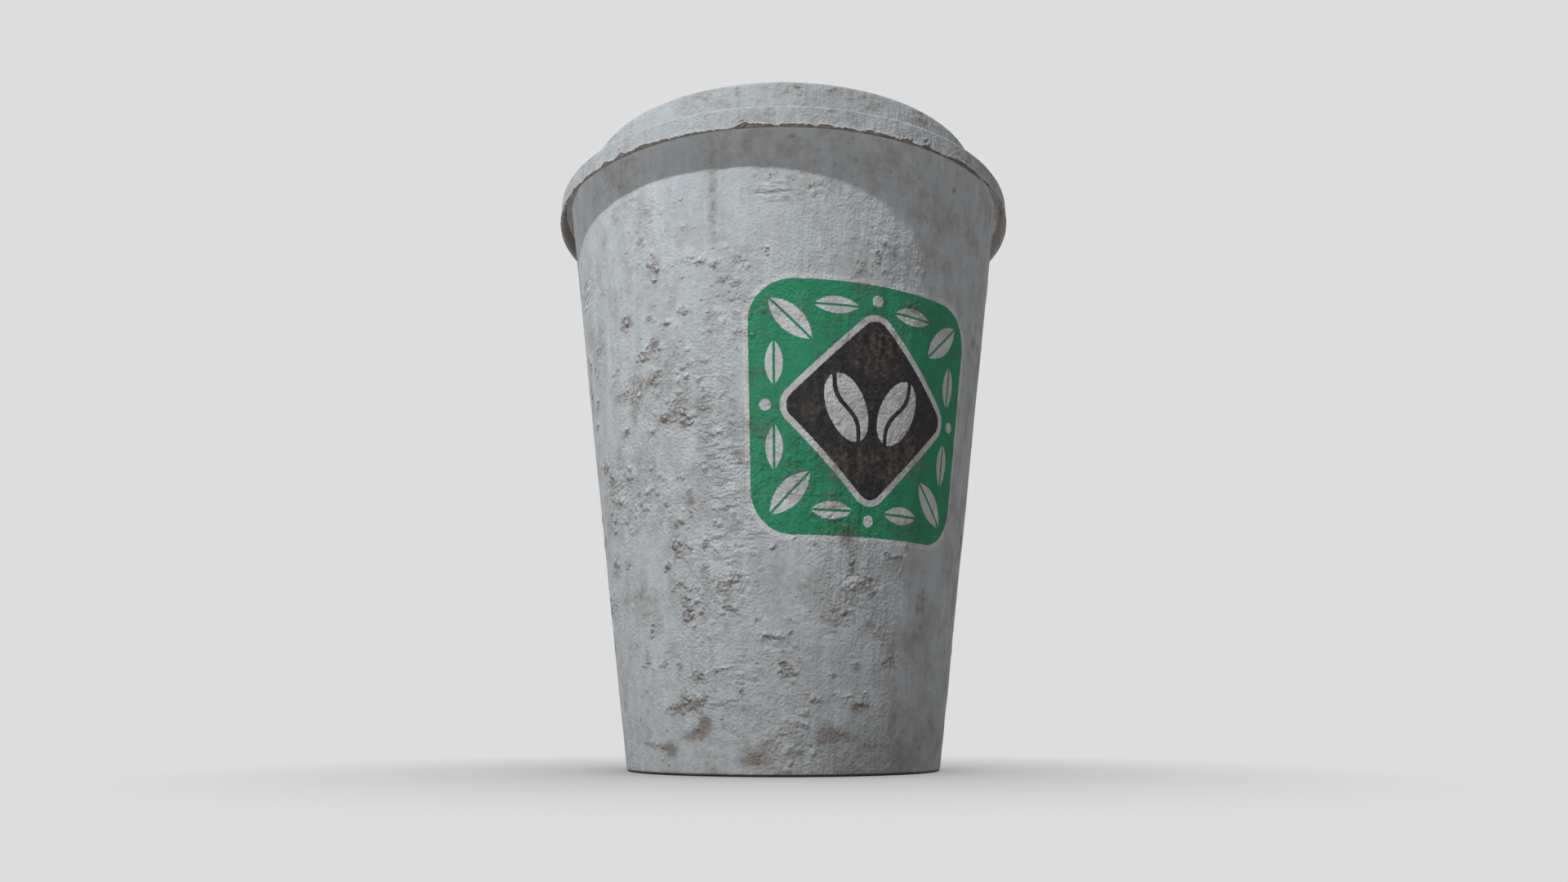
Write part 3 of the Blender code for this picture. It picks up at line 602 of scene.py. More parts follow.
class Term:
    """An output of a node; arithmetic on it adds nodes to the same tree."""

    def __init__(self, tree: bpy.types.NodeTree, socket: bpy.types.NodeSocket) -> None:
        """Keeps the tree and the output socket."""
        self.tree = tree
        self.socket = socket

    def math(self, operation: str, *others: "Term | float") -> "Term":
        """Output of a Math node; its operands are this term and the others."""
        node = new_node(self.tree, "Math", enumerate((self, *others)), operation=operation)
        return Term(self.tree, node.outputs[0])

    def vector(self, operation: str, *others: "Term | Colour") -> "Term":
        """Output of a Vector Math node; its operands are this term and the others."""
        node = new_node(self.tree, "VectorMath", enumerate((self, *others)), operation=operation)
        return Term(self.tree, node.outputs[0])

    def __add__(self, other: "Term | float") -> "Term":
        """Sum."""
        return self.math("ADD", other)

    __radd__ = __add__

    def __sub__(self, other: "Term | float") -> "Term":
        """Difference."""
        return self.math("SUBTRACT", other)

    def __rsub__(self, other: float) -> "Term":
        """A number less this term."""
        return self.math("MULTIPLY_ADD", -1.0, other)

    def __mul__(self, other: "Term | float") -> "Term":
        """Product."""
        return self.math("MULTIPLY", other)

    __rmul__ = __mul__

    def __truediv__(self, other: "Term | float") -> "Term":
        """Quotient."""
        return self.math("DIVIDE", other)

    def __abs__(self) -> "Term":
        """Size without sign."""
        return self.math("ABSOLUTE")

    def larger(self, other: "Term | float") -> "Term":
        """The larger of two."""
        return self.math("MAXIMUM", other)

    def smaller(self, other: "Term | float") -> "Term":
        """The smaller of two."""
        return self.math("MINIMUM", other)

    def length_with(self, other: "Term") -> "Term":
        """Length of the plane vector (self, other)."""
        return (self * self + other * other).math("SQRT")

    def rise(self, low: float, high: float) -> "Term":
        """A smooth step.

        Args:
            low: Value where the step is 0.
            high: Value where it is 1; it may be below low, and then the step falls.

        Returns:
            The step, 3t^2 - 2t^3 between the two values.
        """
        falls = high < low
        span = {"From Min": min(low, high), "From Max": max(low, high)}
        ends = {"To Min": float(falls), "To Max": float(not falls)}
        inputs = span | ends | {"Value": self}
        node = new_node(self.tree, "MapRange", inputs, interpolation_type="SMOOTHSTEP")
        return Term(self.tree, node.outputs["Result"])

    def parts(self) -> "tuple[Term, ...]":
        """The vector's x, y and z."""
        node = new_node(self.tree, "SeparateXYZ", {0: self})
        return tuple(Term(self.tree, output) for output in node.outputs)

    def stretched(self, x: float, y: float, z: float) -> "Term":
        """The vector with each part multiplied by a number."""
        return self.vector("MULTIPLY", (x, y, z))

    def moved(self, x: float, y: float, z: float) -> "Term":
        """The vector plus a fixed one."""
        return self.vector("ADD", (x, y, z))

    def wobbled(self, size: float, amount: float) -> "Term":
        """The vector moved by up to the amount by noise of that size, for uneven outlines."""
        noise = new_node(self.tree, "TexNoise", {"Vector": self, "Scale": 1.0 / size, "Detail": 1.0})
        return Term(self.tree, noise.outputs["Color"]).vector("MULTIPLY_ADD", (amount,) * 3, self)

    def noise(self, size: float, detail: float = 2.0, roughness: float = 0.5) -> "Term":
        """Noise of about -0.5 to 0.5 at this vector; size is in the vector's own unit."""
        inputs = {"Vector": self, "Scale": 1.0 / size, "Detail": detail, "Roughness": roughness}
        return Term(self.tree, new_node(self.tree, "TexNoise", inputs).outputs["Fac"]) - 0.5

    def cells(self, size: float) -> "Term":
        """Distance to the nearest of many scattered points, 0 to about 0.7 cells of that size."""
        node = new_node(self.tree, "TexVoronoi", {"Vector": self, "Scale": 1.0 / size})
        return Term(self.tree, node.outputs["Distance"])

    def toward(self, other: "Term | Colour", amount: "Term | float") -> "Term":
        """This colour blended with another; amount 0 keeps this one and 1 gives the other."""
        inputs = {0: amount, 6: self, 7: other}
        node = new_node(self.tree, "Mix", inputs, data_type="RGBA", clamp_factor=True)
        return Term(self.tree, node.outputs[2])

    def tinted(self, factor: "Term") -> "Term":
        """This colour times a plain number."""
        node = new_node(self.tree, "VectorMath", {0: self, "Scale": factor}, operation="SCALE")
        return Term(self.tree, node.outputs[0])


Value = Term | Colour | float


def feed(tree: bpy.types.NodeTree, value: Value, entry: bpy.types.NodeSocket) -> None:
    """Links a term to a node's input, or writes a plain value there.

    Args:
        tree: The node tree.
        value: A term, a colour or vector, or a number.
        entry: The input socket.
    """
    if isinstance(value, Term):
        tree.links.new(value.socket, entry)
    elif isinstance(value, tuple):
        entry.default_value = (*value, 1.0)[: len(entry.default_value)]
    else:
        entry.default_value = value


def new_node(
    tree: bpy.types.NodeTree,
    kind: str,
    inputs: dict[str | int, Value] | Iterable[tuple[int, Value]] = (),
    **settings: object,
) -> bpy.types.Node:
    """Adds a shader node.

    Args:
        tree: The node tree.
        kind: The node's type, without ShaderNode in front.
        inputs: What its inputs get, by name or number.
        settings: The node's own properties, which are set first.

    Returns:
        The node.
    """
    node = tree.nodes.new(f"ShaderNode{kind}")
    for name, setting in settings.items():
        setattr(node, name, setting)
    for name, value in dict(inputs).items():
        feed(tree, value, node.inputs[name])
    return node


def object_millimetres(tree: bpy.types.NodeTree) -> Term:
    """The point on the object as a vector, in mm."""
    place = Term(tree, new_node(tree, "TexCoord").outputs["Object"])
    return place.stretched(1.0 / MM, 1.0 / MM, 1.0 / MM)


def mask_term(tree: bpy.types.NodeTree, name: str) -> Term:
    """The value of a mask that the mesh carries."""
    node = new_node(tree, "Attribute", attribute_name=name)
    return Term(tree, node.outputs["Fac"])


def flat(tree: bpy.types.NodeTree, colour: Colour) -> Term:
    """A node with one colour.

    Args:
        tree: The material's node tree.
        colour: The colour.

    Returns:
        The colour as a term.
    """
    node = new_node(tree, "RGB")
    node.outputs[0].default_value = (*colour, 1.0)
    return Term(tree, node.outputs[0])


MASKS = ("crust", "film", "wrinkle", "chip", "dust", "damp", "grain")


# Finishes


@dataclass(frozen=True)
class Dirt:
    """Colours of the dirt, and of painted shade and painted highlights.

    Attributes:
        film: Dried film where it is thick.
        stain: What a thin film leaves of the colour under it.
        pit_and_shade: Darker colour in the pits, and painted shade just below each crumb.
        rim: Painted highlight on top of each crumb and on the lip along the broken edge.
        chip: Ground that shows where the coat has broken off.
        damp: Painted shade: the near-black contact shadow along the foot's lowest edge, and the dark
            hidden side of the lid.
    """

    film: Colour = (0.262, 0.232, 0.206)
    stain: Colour = (0.47, 0.39, 0.34)
    pit_and_shade: Colour = (0.185, 0.150, 0.122)
    rim: Colour = (0.640, 0.610, 0.560)
    chip: Colour = (0.105, 0.078, 0.058)
    damp: Colour = (0.008, 0.008, 0.008)


@dataclass(frozen=True)
class WeatheredCoat:
    """Grain, pits, crumbled patches, dirt, painted shade and painted highlights over any clean colour,
    as one node group.

    Heights are in mm. Every size is the size of the bumps in mm.

    Attributes:
        dirt: The colours of the dirt, and of the painted shade and painted highlights.
        sand: Height of the finest grain.
        streak: Height of the upright streaks.
        lump: Height of the lumps.
        pimple: Height of the small round bumps.
        fold: Height of the wrinkles where the wrinkle mask is 1.
        crumble: Height of the uneven ground where the crust mask is 1.
        crumb: Height of the crumbs there.
        pit: Depth of the small pits.
        chip_depth: Depth of the broken edge.
        lip: Height of the raised lip along the broken edge.
    """

    dirt: Dirt = Dirt()
    sand: float = 0.13
    streak: float = 0.42
    lump: float = 0.33
    pimple: float = 0.22
    fold: float = 0.62
    crumble: float = 0.55
    crumb: float = 0.34
    pit: float = 0.08
    chip_depth: float = 0.12
    lip: float = 0.08

    NAME = "weathered_coat"

    def group(self) -> bpy.types.NodeTree:
        """Builds the group, or finds it.

        Returns:
            The node group, with outputs Colour, Height and Roughness.
        """
        if self.NAME in bpy.data.node_groups:
            return bpy.data.node_groups[self.NAME]
        tree = bpy.data.node_groups.new(self.NAME, "ShaderNodeTree")
        inputs = {"Point": "Vector", "Clean": "Color", "Smoothness": "Float"}
        inputs |= dict.fromkeys(MASKS, "Float")
        outputs = {"Colour": "Color", "Height": "Float", "Roughness": "Float"}
        for way, names in (("INPUT", inputs), ("OUTPUT", outputs)):
            for name, kind in names.items():
                tree.interface.new_socket(name, in_out=way, socket_type=f"NodeSocket{kind}")
        entry = tree.nodes.new("NodeGroupInput")
        given = {socket.name: Term(tree, socket) for socket in entry.outputs if socket.name}
        point = given["Point"]

        upright = point.stretched(1.0, 1.0, 0.16)
        level = point.stretched(0.30, 0.30, 1.0)
        wobbly = point.wobbled(1.3, 1.1)
        patches = point.noise(9.0, 3.0, 0.55)
        cloud = point.noise(3.4, 3.0, 0.55)
        runs = point.stretched(1.0, 1.0, 0.05).noise(2.2, 2.0, 0.55)
        sand = point.noise(0.5, 1.0, 0.5)
        streak = upright.noise(1.5, 2.0, 0.5)
        lump = point.noise(2.0, 3.0, 0.55)
        fold = level.noise(1.1, 2.0, 0.5)
        crumble = point.noise(1.0, 2.0, 0.6)
        crumbs = wobbly.cells(1.5).rise(0.54, 0.12)
        # 1 just below a crumb and -1 on its top: the colour is darker below and paler on top, as
        # painted shade and painted highlight for light from above.
        crumb_shading = wobbly.moved(0.0, 0.0, 0.35).cells(1.5).rise(0.54, 0.12) - crumbs
        pimples = point.wobbled(2.4, 1.4).cells(2.1).rise(0.42, 0.06) * patches.rise(-0.08, 0.10)
        crust = (given["crust"] * (1.0 + cloud * 3.0)).rise(0.12, 0.85)
        pits = point.cells(1.2).rise(0.24, 0.08) * patches.rise(0.03, 0.12)
        edge = given["chip"] + point.noise(0.9, 3.0, 0.6) * 2.6
        chip = edge.rise(0.40, 0.60)
        lip = edge.rise(-0.10, 0.30) * (1.0 - chip)

        height = (
            (sand * self.sand + streak * self.streak + lump * self.lump + pimples * self.pimple)
            * given["grain"]
            + fold * given["wrinkle"] * self.fold
            + (crumble * self.crumble + crumbs * self.crumb) * crust
            - pits * self.pit
            - chip * self.chip_depth
            + lip * self.lip
        )

        # Tone of the worn coat, with a painted highlight on the lip of the broken edge, and darker
        # where dust and painted shade lie.
        wear_and_light = 1.0 + sand * 0.30 + streak * 0.16 + runs * 0.36 + patches * 0.14 + lip * 0.10
        wear_and_light = wear_and_light * (1.0 - given["dust"] * 0.14)
        clean = given["Clean"].tinted(wear_and_light)
        dirty = clean.stretched(*self.dirt.stain).toward(self.dirt.film, crumble + streak * 0.8 + 0.28)
        smear = (given["film"] * (1.1 + cloud * 1.8 + crumble * 2.4)).rise(0.0, 1.30)
        # Brown haze, stronger where the mask for dust and painted shade is high.
        haze = cloud * 1.2 + patches * 1.6 + crumble * 0.8 + given["dust"] * 0.16 + 0.09
        soiled = crust * (0.62 - crumble * 1.4)
        wrinkled = given["wrinkle"] * (fold * -1.6 + 0.10)
        film = smear.larger(haze).larger(soiled).larger(wrinkled)
        colour = clean.toward(dirty, film * 0.92)
        # Darker colour in the pits, and painted shade just below each crumb.
        colour = colour.toward(self.dirt.pit_and_shade, (pits * 0.45).larger(crumb_shading * crust * 0.75))
        # Painted highlight on the top of each crumb.
        colour = colour.toward(self.dirt.rim, (crumb_shading * -1.0).rise(0.25, 0.8) * crust * 0.40)
        # Painted highlight: the raised lip along the broken edge turns pale cream.
        colour = colour.toward(self.dirt.rim, lip * 0.45)
        colour = colour.toward(self.dirt.chip, chip * (0.9 + crumble * 0.8))
        # Painted shade: this mask turns the colour near black, at the foot's lowest edge and on the
        # lid's hidden side.
        colour = colour.toward(self.dirt.damp, given["damp"])
        roughness = given["Smoothness"] * -1.0 + 1.0 + film * 0.1

        leave = tree.nodes.new("NodeGroupOutput")
        feed(tree, colour, leave.inputs["Colour"])
        feed(tree, height, leave.inputs["Height"])
        feed(tree, roughness, leave.inputs["Roughness"])
        return tree

    def dress(
        self, tree: bpy.types.NodeTree, clean: Term | Colour, smoothness: float, grain: float
    ) -> None:
        """Places the group in a material and joins it to the shader.

        Args:
            tree: The material's node tree, with its Principled BSDF.
            clean: The colour under the dirt.
            smoothness: 1 less the roughness of the clean surface.
            grain: Strength of the relief, 1 for the full heights.
        """
        shader = tree.nodes["Principled BSDF"]
        inputs = {"Point": object_millimetres(tree), "Clean": clean, "Smoothness": smoothness}
        inputs |= {mask: mask_term(tree, mask) for mask in MASKS}
        use = new_node(tree, "Group", inputs, node_tree=self.group())
        height = Term(tree, use.outputs["Height"])
        bump = new_node(tree, "Bump", {"Distance": MM, "Strength": grain, "Height": height})
        tree.links.new(bump.outputs["Normal"], shader.inputs["Normal"])
        tree.links.new(use.outputs["Colour"], shader.inputs["Base Color"])
        tree.links.new(use.outputs["Roughness"], shader.inputs["Roughness"])


def new_material(name: str, specular: float) -> bpy.types.Material:
    """A material with a Principled BSDF.

    Args:
        name: The material's name.
        specular: Specular level of the shader.

    Returns:
        The material.
    """
    material = bpy.data.materials.new(name)
    material.use_nodes = True
    shader = material.node_tree.nodes["Principled BSDF"]
    shader.inputs["Specular IOR Level"].default_value = specular
    return material


@dataclass(frozen=True)
class Badge:
    """The printed badge: a green rounded square with a dark diamond, two beans and leaves.

    Lengths are in mm on the wall: across is measured round the cup at the badge's own height.

    Attributes:
        azimuth: Azimuth of its middle, in degrees.
        height: Height of its middle.
        radius: Radius of the wall there.
        half: Half the side of the square.
        corner: Radius of its corners.
        keyline: Width of the pale line round the square and round the diamond.
        diamond: Half the side of the diamond.
        diamond_corner: Radius of its corners.
        green: Colour of the square.
        dark: Colour of the diamond.
        pale: Colour of the lines, beans and leaves.
    """

    azimuth: float = 24.3
    height: float = 60.2
    radius: float = 37.3
    half: float = 21.6
    corner: float = 7.5
    keyline: float = 0.9
    diamond: float = 11.6
    diamond_corner: float = 2.6
    green: Colour = (0.036, 0.290, 0.150)
    dark: Colour = (0.030, 0.029, 0.030)
    pale: Colour = (0.670, 0.690, 0.700)

    EDGE = 0.07
    MIDRIB = 0.22
    CORNER_LEAF_PLACE = 29.4
    SIDE_LEAF_PLACE = (7.1, 17.4)
    DOT_PLACE = 18.9

    @staticmethod
    def rounded_square(x: Term, y: Term, half: float, corner: float) -> Term:
        """Distance outside a rounded square, negative inside.

        Args:
            x: Place across, from the square's middle.
            y: Place along, from its middle.
            half: Half its side.
            corner: Radius of its corners.

        Returns:
            The distance.
        """
        inner = half - corner
        past_x = abs(x) - inner
        past_y = abs(y) - inner
        outside = past_x.larger(0.0).length_with(past_y.larger(0.0))
        inside = past_x.larger(past_y).smaller(0.0)
        return outside + inside - corner

    @staticmethod
    def leaf(along: Term, beside: Term, half_length: float, half_width: float) -> Term:
        """Distance outside a leaf, negative inside: the overlap of two equal discs.

        Args:
            along: Place along the leaf, from its middle.
            beside: Place beside its midrib.
            half_length: Half its length.
            half_width: Half its width.

        Returns:
            The distance, with the midrib cut out.
        """
        radius = (half_length**2 + half_width**2) / (2.0 * half_width)
        reach = abs(beside) + (radius - half_width)
        blade = along.length_with(reach) - radius
        midrib = Badge.MIDRIB - abs(beside)
        return blade.larger(midrib)

    def bean(self, x: Term, y: Term) -> Term:
        """Distance outside two mirrored coffee beans, negative inside.

        A bean is an ellipse with an S-shaped groove: beside = 0.75 sin(0.55 along).

        Args:
            x: Place across the badge.
            y: Place up the badge.

        Returns:
            The distance, with the grooves cut out.
        """
        lean = math.radians(24.0)
        offset, half_width, half_length, groove = 4.9, 3.5, 6.1, 0.42
        side = abs(x) - offset
        beside = side * math.cos(lean) + y * -math.sin(lean)
        along = side * math.sin(lean) + y * math.cos(lean)
        oval = ((beside / half_width).length_with(along / half_length) - 1.0) * half_width
        curve = (along * 0.55).math("SINE") * 0.75
        return oval.larger(groove - abs(beside - curve))

    def over(self, tree: bpy.types.NodeTree, board: Colour) -> Term:
        """The board's colour with the badge printed on it.

        Args:
            tree: The material's node tree.
            board: Colour of the board.

        Returns:
            The colour.
        """
        point = object_millimetres(tree)
        x, y, z = point.parts()
        turn = x.math("ARCTAN2", y * -1.0) - math.radians(self.azimuth)
        fray = point.noise(0.5, 3.0, 0.6) * 0.35
        across = turn * self.radius
        up = z - self.height
        near = abs(across).smaller(abs(up))
        far = abs(across).larger(abs(up))
        diagonal = math.sqrt(0.5)
        square = self.rounded_square(across, up, self.half, self.corner) + fray
        diamond = self.rounded_square(
            (across + up) * diagonal, (up - across) * diagonal, self.diamond, self.diamond_corner
        )
        diamond = diamond + fray
        outward = (far + near - self.CORNER_LEAF_PLACE) * diagonal
        corner_leaf = self.leaf(outward, (far - near) * diagonal, 5.0, 2.1)
        beside, out = self.SIDE_LEAF_PLACE
        side_leaf = self.leaf(near - beside, far - out, 3.9, 1.5)
        dot = near.length_with(far - self.DOT_PLACE) - 1.0
        leaves = corner_leaf.smaller(side_leaf).smaller(dot) + fray
        beans = self.bean(across, up) + fray

        colour = flat(tree, board)
        for paint, shape in (
            (self.pale, square - self.keyline),
            (self.green, square),
            (self.pale, leaves),
            (self.pale, diamond - self.keyline * 1.2),
            (self.dark, diamond),
            (self.pale, beans),
        ):
            colour = colour.toward(paint, shape.rise(self.EDGE, -self.EDGE))
        return colour


@dataclass(frozen=True)
class PrintedBoard:
    """Coated board, printed on its outer side.

    Attributes:
        colour: Colour of the clean coat.
        smoothness: 1 less its roughness.
        badge: What is printed on it.
        coat: The weathering.
    """

    colour: Colour = (0.548, 0.592, 0.606)
    smoothness: float = 0.16
    badge: Badge = Badge()
    coat: WeatheredCoat = WeatheredCoat()

    def material(self) -> bpy.types.Material:
        """Builds the material.

        Returns:
            The material.
        """
        material = new_material("printed_board", specular=0.22)
        clean = self.badge.over(material.node_tree, self.colour)
        self.coat.dress(material.node_tree, clean, self.smoothness, 1.0)
        return material


@dataclass(frozen=True)
class PlainBoard:
    """The inner side of the board, and the bottom: pale fibre with a faint brown film, near black
    inside the cup, partly as painted shade.

    Attributes:
        colour: Colour of the clean fibre.
        stain: Colour of the dried drink.
        soaked_and_shaded: Colour of the inside of the cup, darkened by the drink and by painted shade.
    """

    colour: Colour = (0.50, 0.49, 0.46)
    stain: Colour = (0.26, 0.20, 0.15)
    soaked_and_shaded: Colour = (0.040, 0.028, 0.020)

    def material(self) -> bpy.types.Material:
        """Builds the material: clouds of stain over fibres that lie at random, and a near-black inside
        of the cup that is partly painted shade.

        Returns:
            The material.
        """
        material = new_material("plain_board", specular=0.2)
        tree = material.node_tree
        shader = tree.nodes["Principled BSDF"]
        shader.inputs["Roughness"].default_value = 0.85
        point = object_millimetres(tree)
        fibre = point.stretched(1.0, 0.35, 1.0).noise(0.5, 3.0, 0.65)
        cloud = point.noise(11.0, 5.0, 0.62)
        clean = flat(tree, self.colour).tinted(1.0 + fibre * 0.35)
        colour = clean.toward(self.stain, cloud.rise(-0.08, 0.22) * 0.7)
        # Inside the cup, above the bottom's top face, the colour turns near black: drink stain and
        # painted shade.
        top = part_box(CupBottom.NODE)[1].z / MM
        inside = point.parts()[2].rise(top - 0.15, top - 0.05)
        colour = colour.toward(self.soaked_and_shaded, inside * (0.86 + cloud * 0.4))
        feed(tree, colour, shader.inputs["Base Color"])
        bump = new_node(tree, "Bump", {"Distance": MM, "Height": fibre * 0.08})
        tree.links.new(bump.outputs["Normal"], shader.inputs["Normal"])
        return material


@dataclass(frozen=True)
class FormedPlastic:
    """The lid's thin sheet, with the same weathering as the board.

    Attributes:
        colour: Colour of the clean plastic.
        smoothness: 1 less its roughness.
        coat: The weathering.
    """

    colour: Colour = (0.411, 0.440, 0.449)
    smoothness: float = 0.26
    coat: WeatheredCoat = WeatheredCoat()

    def material(self) -> bpy.types.Material:
        """Builds the material.

        Returns:
            The material.
        """
        material = new_material("formed_plastic", specular=0.3)
        self.coat.dress(material.node_tree, self.colour, self.smoothness, 0.8)
        return material


# The cup


@dataclass
class CupWall:
    """The wrapped board: hem, folded foot, outer wall with its lap seam, and rolled rim.

    Lengths are in mm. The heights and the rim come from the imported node's box.

    Attributes:
        base_radius: Outside of the wall on the table.
        mouth_radius: Outside of the wall at the height of the roll's centre.
        board: Thickness of the board.
        roll_diameter: Outside of the rolled rim's section.
        foot_bend: Outer bends of the folded foot.
        fold_width: Width of the folded foot.
        hem_height: Height of the hem.
        lap_step: How far the cut edge of the outer ply stands proud.
        lap_start: Azimuth where the outer ply leaves the wall's face, in degrees.
        lap_edge: Azimuth of its cut edge.
        columns: Number of columns round the cup.
        row_step: Spacing of the rows on the outer wall.
        marks: The marks of each kind, listed and strewn; filled in when the wall is made.
    """

    base_radius: float = 29.0
    mouth_radius: float = 44.25
    board: float = 0.45
    roll_diameter: float = 1.6
    foot_bend: float = 0.6
    fold_width: float = 1.97
    hem_height: float = 7.0
    lap_step: float = 0.3
    lap_start: float = 180.0
    lap_edge: float = 185.625
    columns: int = 360
    row_step: float = 0.585
    marks: dict[Mark, tuple[Blemish, ...]] = field(default_factory=dict)

    NODE = "cup_wall"
    CURL_ROWS = 13
    RAMP_ROWS = 3
    HIDDEN_STRIDE = 8
    # Height in mm of the painted contact shadow along the foot's lowest edge.
    PAINTED_SHADE_HEIGHT = 0.40
    # Painted shade where the key lamp's light turns away from the wall: azimuth of its middle, its half
    # width in degrees, and how much it adds to the darkening.
    LEE_MIDDLE, LEE_HALF, LEE_EXTRA = 28.0, 18.0, 1.6
    SWELL, RIDGE, LUMP = 0.035, 0.030, 0.012
    CRUMBLE, CRUST, RUN, FOLD, SCRATCH = 0.12, 0.08, 0.10, 0.075, 0.10
    # Darkening towards the bottom, by height in mm: partly dust and partly painted shade.
    LOW_DUST_AND_SHADE = ((0, 1.0), (4, 0.85), (12, 0.5), (25, 0.27), (40, 0.13), (70, 0.1), (90, 0.0))
    GRAIN = ((0, 0.66), (30, 0.76), (50, 0.78), (75, 0.62), (95, 0.46), (111, 0.35))

    def __post_init__(self) -> None:
        """Reads the cup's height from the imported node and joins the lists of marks."""
        self.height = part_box(self.NODE)[1].z / MM
        self.roll_height = self.height - self.roll_diameter / 2.0
        self.slope = (self.mouth_radius - self.base_radius) / self.roll_height
        strewn = ScatteredMarks().marks()
        self.marks = {kind: FRONT_MARKS[kind] + strewn[kind] for kind in Mark}
        self.marks[Mark.CRUST] += satellites(FRONT_MARKS[Mark.CRUST])

    def wall_radius(self, height: float | np.ndarray) -> float | np.ndarray:
        """Radius of the wall's outer face at a height."""
        return self.base_radius + self.slope * height

    def printed_path(self) -> tuple[np.ndarray, int]:
        """The printed side, from the hem's upper end round the foot and up the wall to the roll.

        Returns:
            The path, rows by columns by 2, and the number of rows before the roll.
        """
        fold = self.fold_width
        draft = math.atan(self.slope)
        bore = self.roll_diameter / 2.0 - self.board
        roll_radius = self.mouth_radius + bore / math.cos(draft)
        start = math.pi - draft
        tangent = (roll_radius + bore * math.cos(start), self.roll_height + bore * math.sin(start))
        corners = [
            Corner(self.wall_radius(self.hem_height) - fold, self.hem_height),
            Corner(self.base_radius - fold, 0.0, self.foot_bend, 2.4),
            Corner(self.base_radius, 0.0, self.foot_bend, 0.5),
            Corner(*tangent, step=self.row_step),
        ]
        rise = rounded_path(corners, self.columns)
        angles = np.linspace(start, -math.pi / 2.0, self.CURL_ROWS)[1:]
        curl = np.stack(
            (roll_radius + bore * np.cos(angles), self.roll_height + bore * np.sin(angles)), axis=-1
        )
        curl = np.broadcast_to(curl[:, None, :], (len(angles), self.columns, 2))
        return np.concatenate((rise, curl)), len(rise)

    def relief(self, points: np.ndarray, cover: dict[Mark, np.ndarray]) -> np.ndarray:
        """Height of the coat above the plain wall.

        It is a gentle swell, upright ridges and fine lumps everywhere, with crumbs, runs,
        folds and grooves where the marks are.

        Args:
            points: Points of the outer wall, in mm.
            cover: Strength of each kind of mark at the points.

        Returns:
            The height at each point, in mm.
        """
        swell = LatticeNoise((9.0, 9.0, 14.0), 2, 3).at(points)
        ridges = LatticeNoise((2.2, 2.2, 13.0), 2, 5).at(points)
        lumps = LatticeNoise((2.3, 2.3, 2.3), 2, 7).at(points)
        crumble = LatticeNoise((1.7, 1.7, 1.7), 2, 9).at(points)
        folds = LatticeNoise((7.0, 7.0, 1.9), 2, 11).at(points)
        crust = np.minimum(cover[Mark.CRUST], 1.3)
        height = self.SWELL * swell + self.RIDGE * ridges + self.LUMP * lumps
        height += crust * (self.CRUMBLE * crumble + self.CRUST)
        height += self.RUN * np.minimum(cover[Mark.RUN], 1.0)
        height += self.FOLD * folds * np.minimum(cover[Mark.WRINKLE], 1.2)
        return height - self.SCRATCH * np.minimum(cover[Mark.SCRATCH], 1.0)

    def build(self, finishes: list[bpy.types.Material]) -> bpy.types.Object:
        """Makes the wall.

        Args:
            finishes: The materials of the printed side and of the inner side.

        Returns:
            The piece.
        """
        azimuths = self.lap_edge - 360.0 + np.linspace(0.02, 360.0, self.columns)
        printed, before_roll = self.printed_path()
        rows = len(printed)
        points = RingSurface(self.NODE, printed, azimuths, {}).points()
        height = printed[..., 1]
        first = int(np.argmax(printed[:, 0, 0] >= self.wall_radius(0.0) - 0.02))
        ramp = np.clip((np.arange(rows) - first) / self.RAMP_ROWS, 0.0, 1.0)
        ramp *= np.clip((before_roll - 1 - np.arange(rows)) / self.RAMP_ROWS, 0.0, 1.0)
        on_wall = ramp[:, None]
        cover = {kind: summed(self.marks[kind], azimuths, printed) * on_wall for kind in Mark}
        lap = np.clip((azimuths - self.lap_start) / (self.lap_edge - self.lap_start), 0.0, 1.0)
        outward = self.relief(points, cover) * on_wall + self.lap_step * lap[None, :] * on_wall
        inner = hidden_side(printed, self.board)
        printed[..., 0] += outward

        roughness = LatticeNoise((12.0, 12.0, 16.0), 2, 13).at(points)
        smooth_run = np.minimum(cover[Mark.RUN], 1.0)
        # Painted shade: the darkening grows round azimuth 28, where the key lamp's light turns away
        # from the wall.
        away = (azimuths - self.LEE_MIDDLE) / self.LEE_HALF
        side_shade = 1.0 + self.LEE_EXTRA * np.exp(-(away**2))[None, :]
        masks = {
            "crust": np.minimum(cover[Mark.CRUST], 1.4),
            "film": np.minimum(cover[Mark.SMEAR], 1.2) + 0.08,
            "wrinkle": np.minimum(cover[Mark.WRINKLE], 1.2),
            "chip": np.full_like(height, -1.0),
            "dust": np.interp(height, *np.array(self.LOW_DUST_AND_SHADE).T) * side_shade - 0.5 * smooth_run,
            # Painted shade: a near-black contact shadow on the lowest 0.4 mm of the foot.
            "damp": np.exp(-((height / self.PAINTED_SHADE_HEIGHT) ** 6)),
            "grain": np.interp(height, *np.array(self.GRAIN).T)
            * (1.0 + 0.6 * roughness)
            * (1.0 - 0.7 * smooth_run),
        }
        beyond = np.arange(rows) >= before_roll
        masks["film"] = np.where(beyond[:, None], 1.1, masks["film"])
        bends = np.ones(rows, bool)
        bends[first + self.RAMP_ROWS : before_roll - self.RAMP_ROWS] = False
        chosen = thinned(rows, bends, self.HIDDEN_STRIDE)[::-1]
        path = np.concatenate((printed, inner[chosen]))
        masks = {
            name: np.concatenate((values, np.full((len(chosen), self.columns), self.inner(name))))
            for name, values in masks.items()
        }
        seen_curl = height[chosen, 0] > self.roll_height - self.roll_diameter
        finish = np.concatenate((np.zeros(rows, int), np.where(seen_curl, 0, 1)))
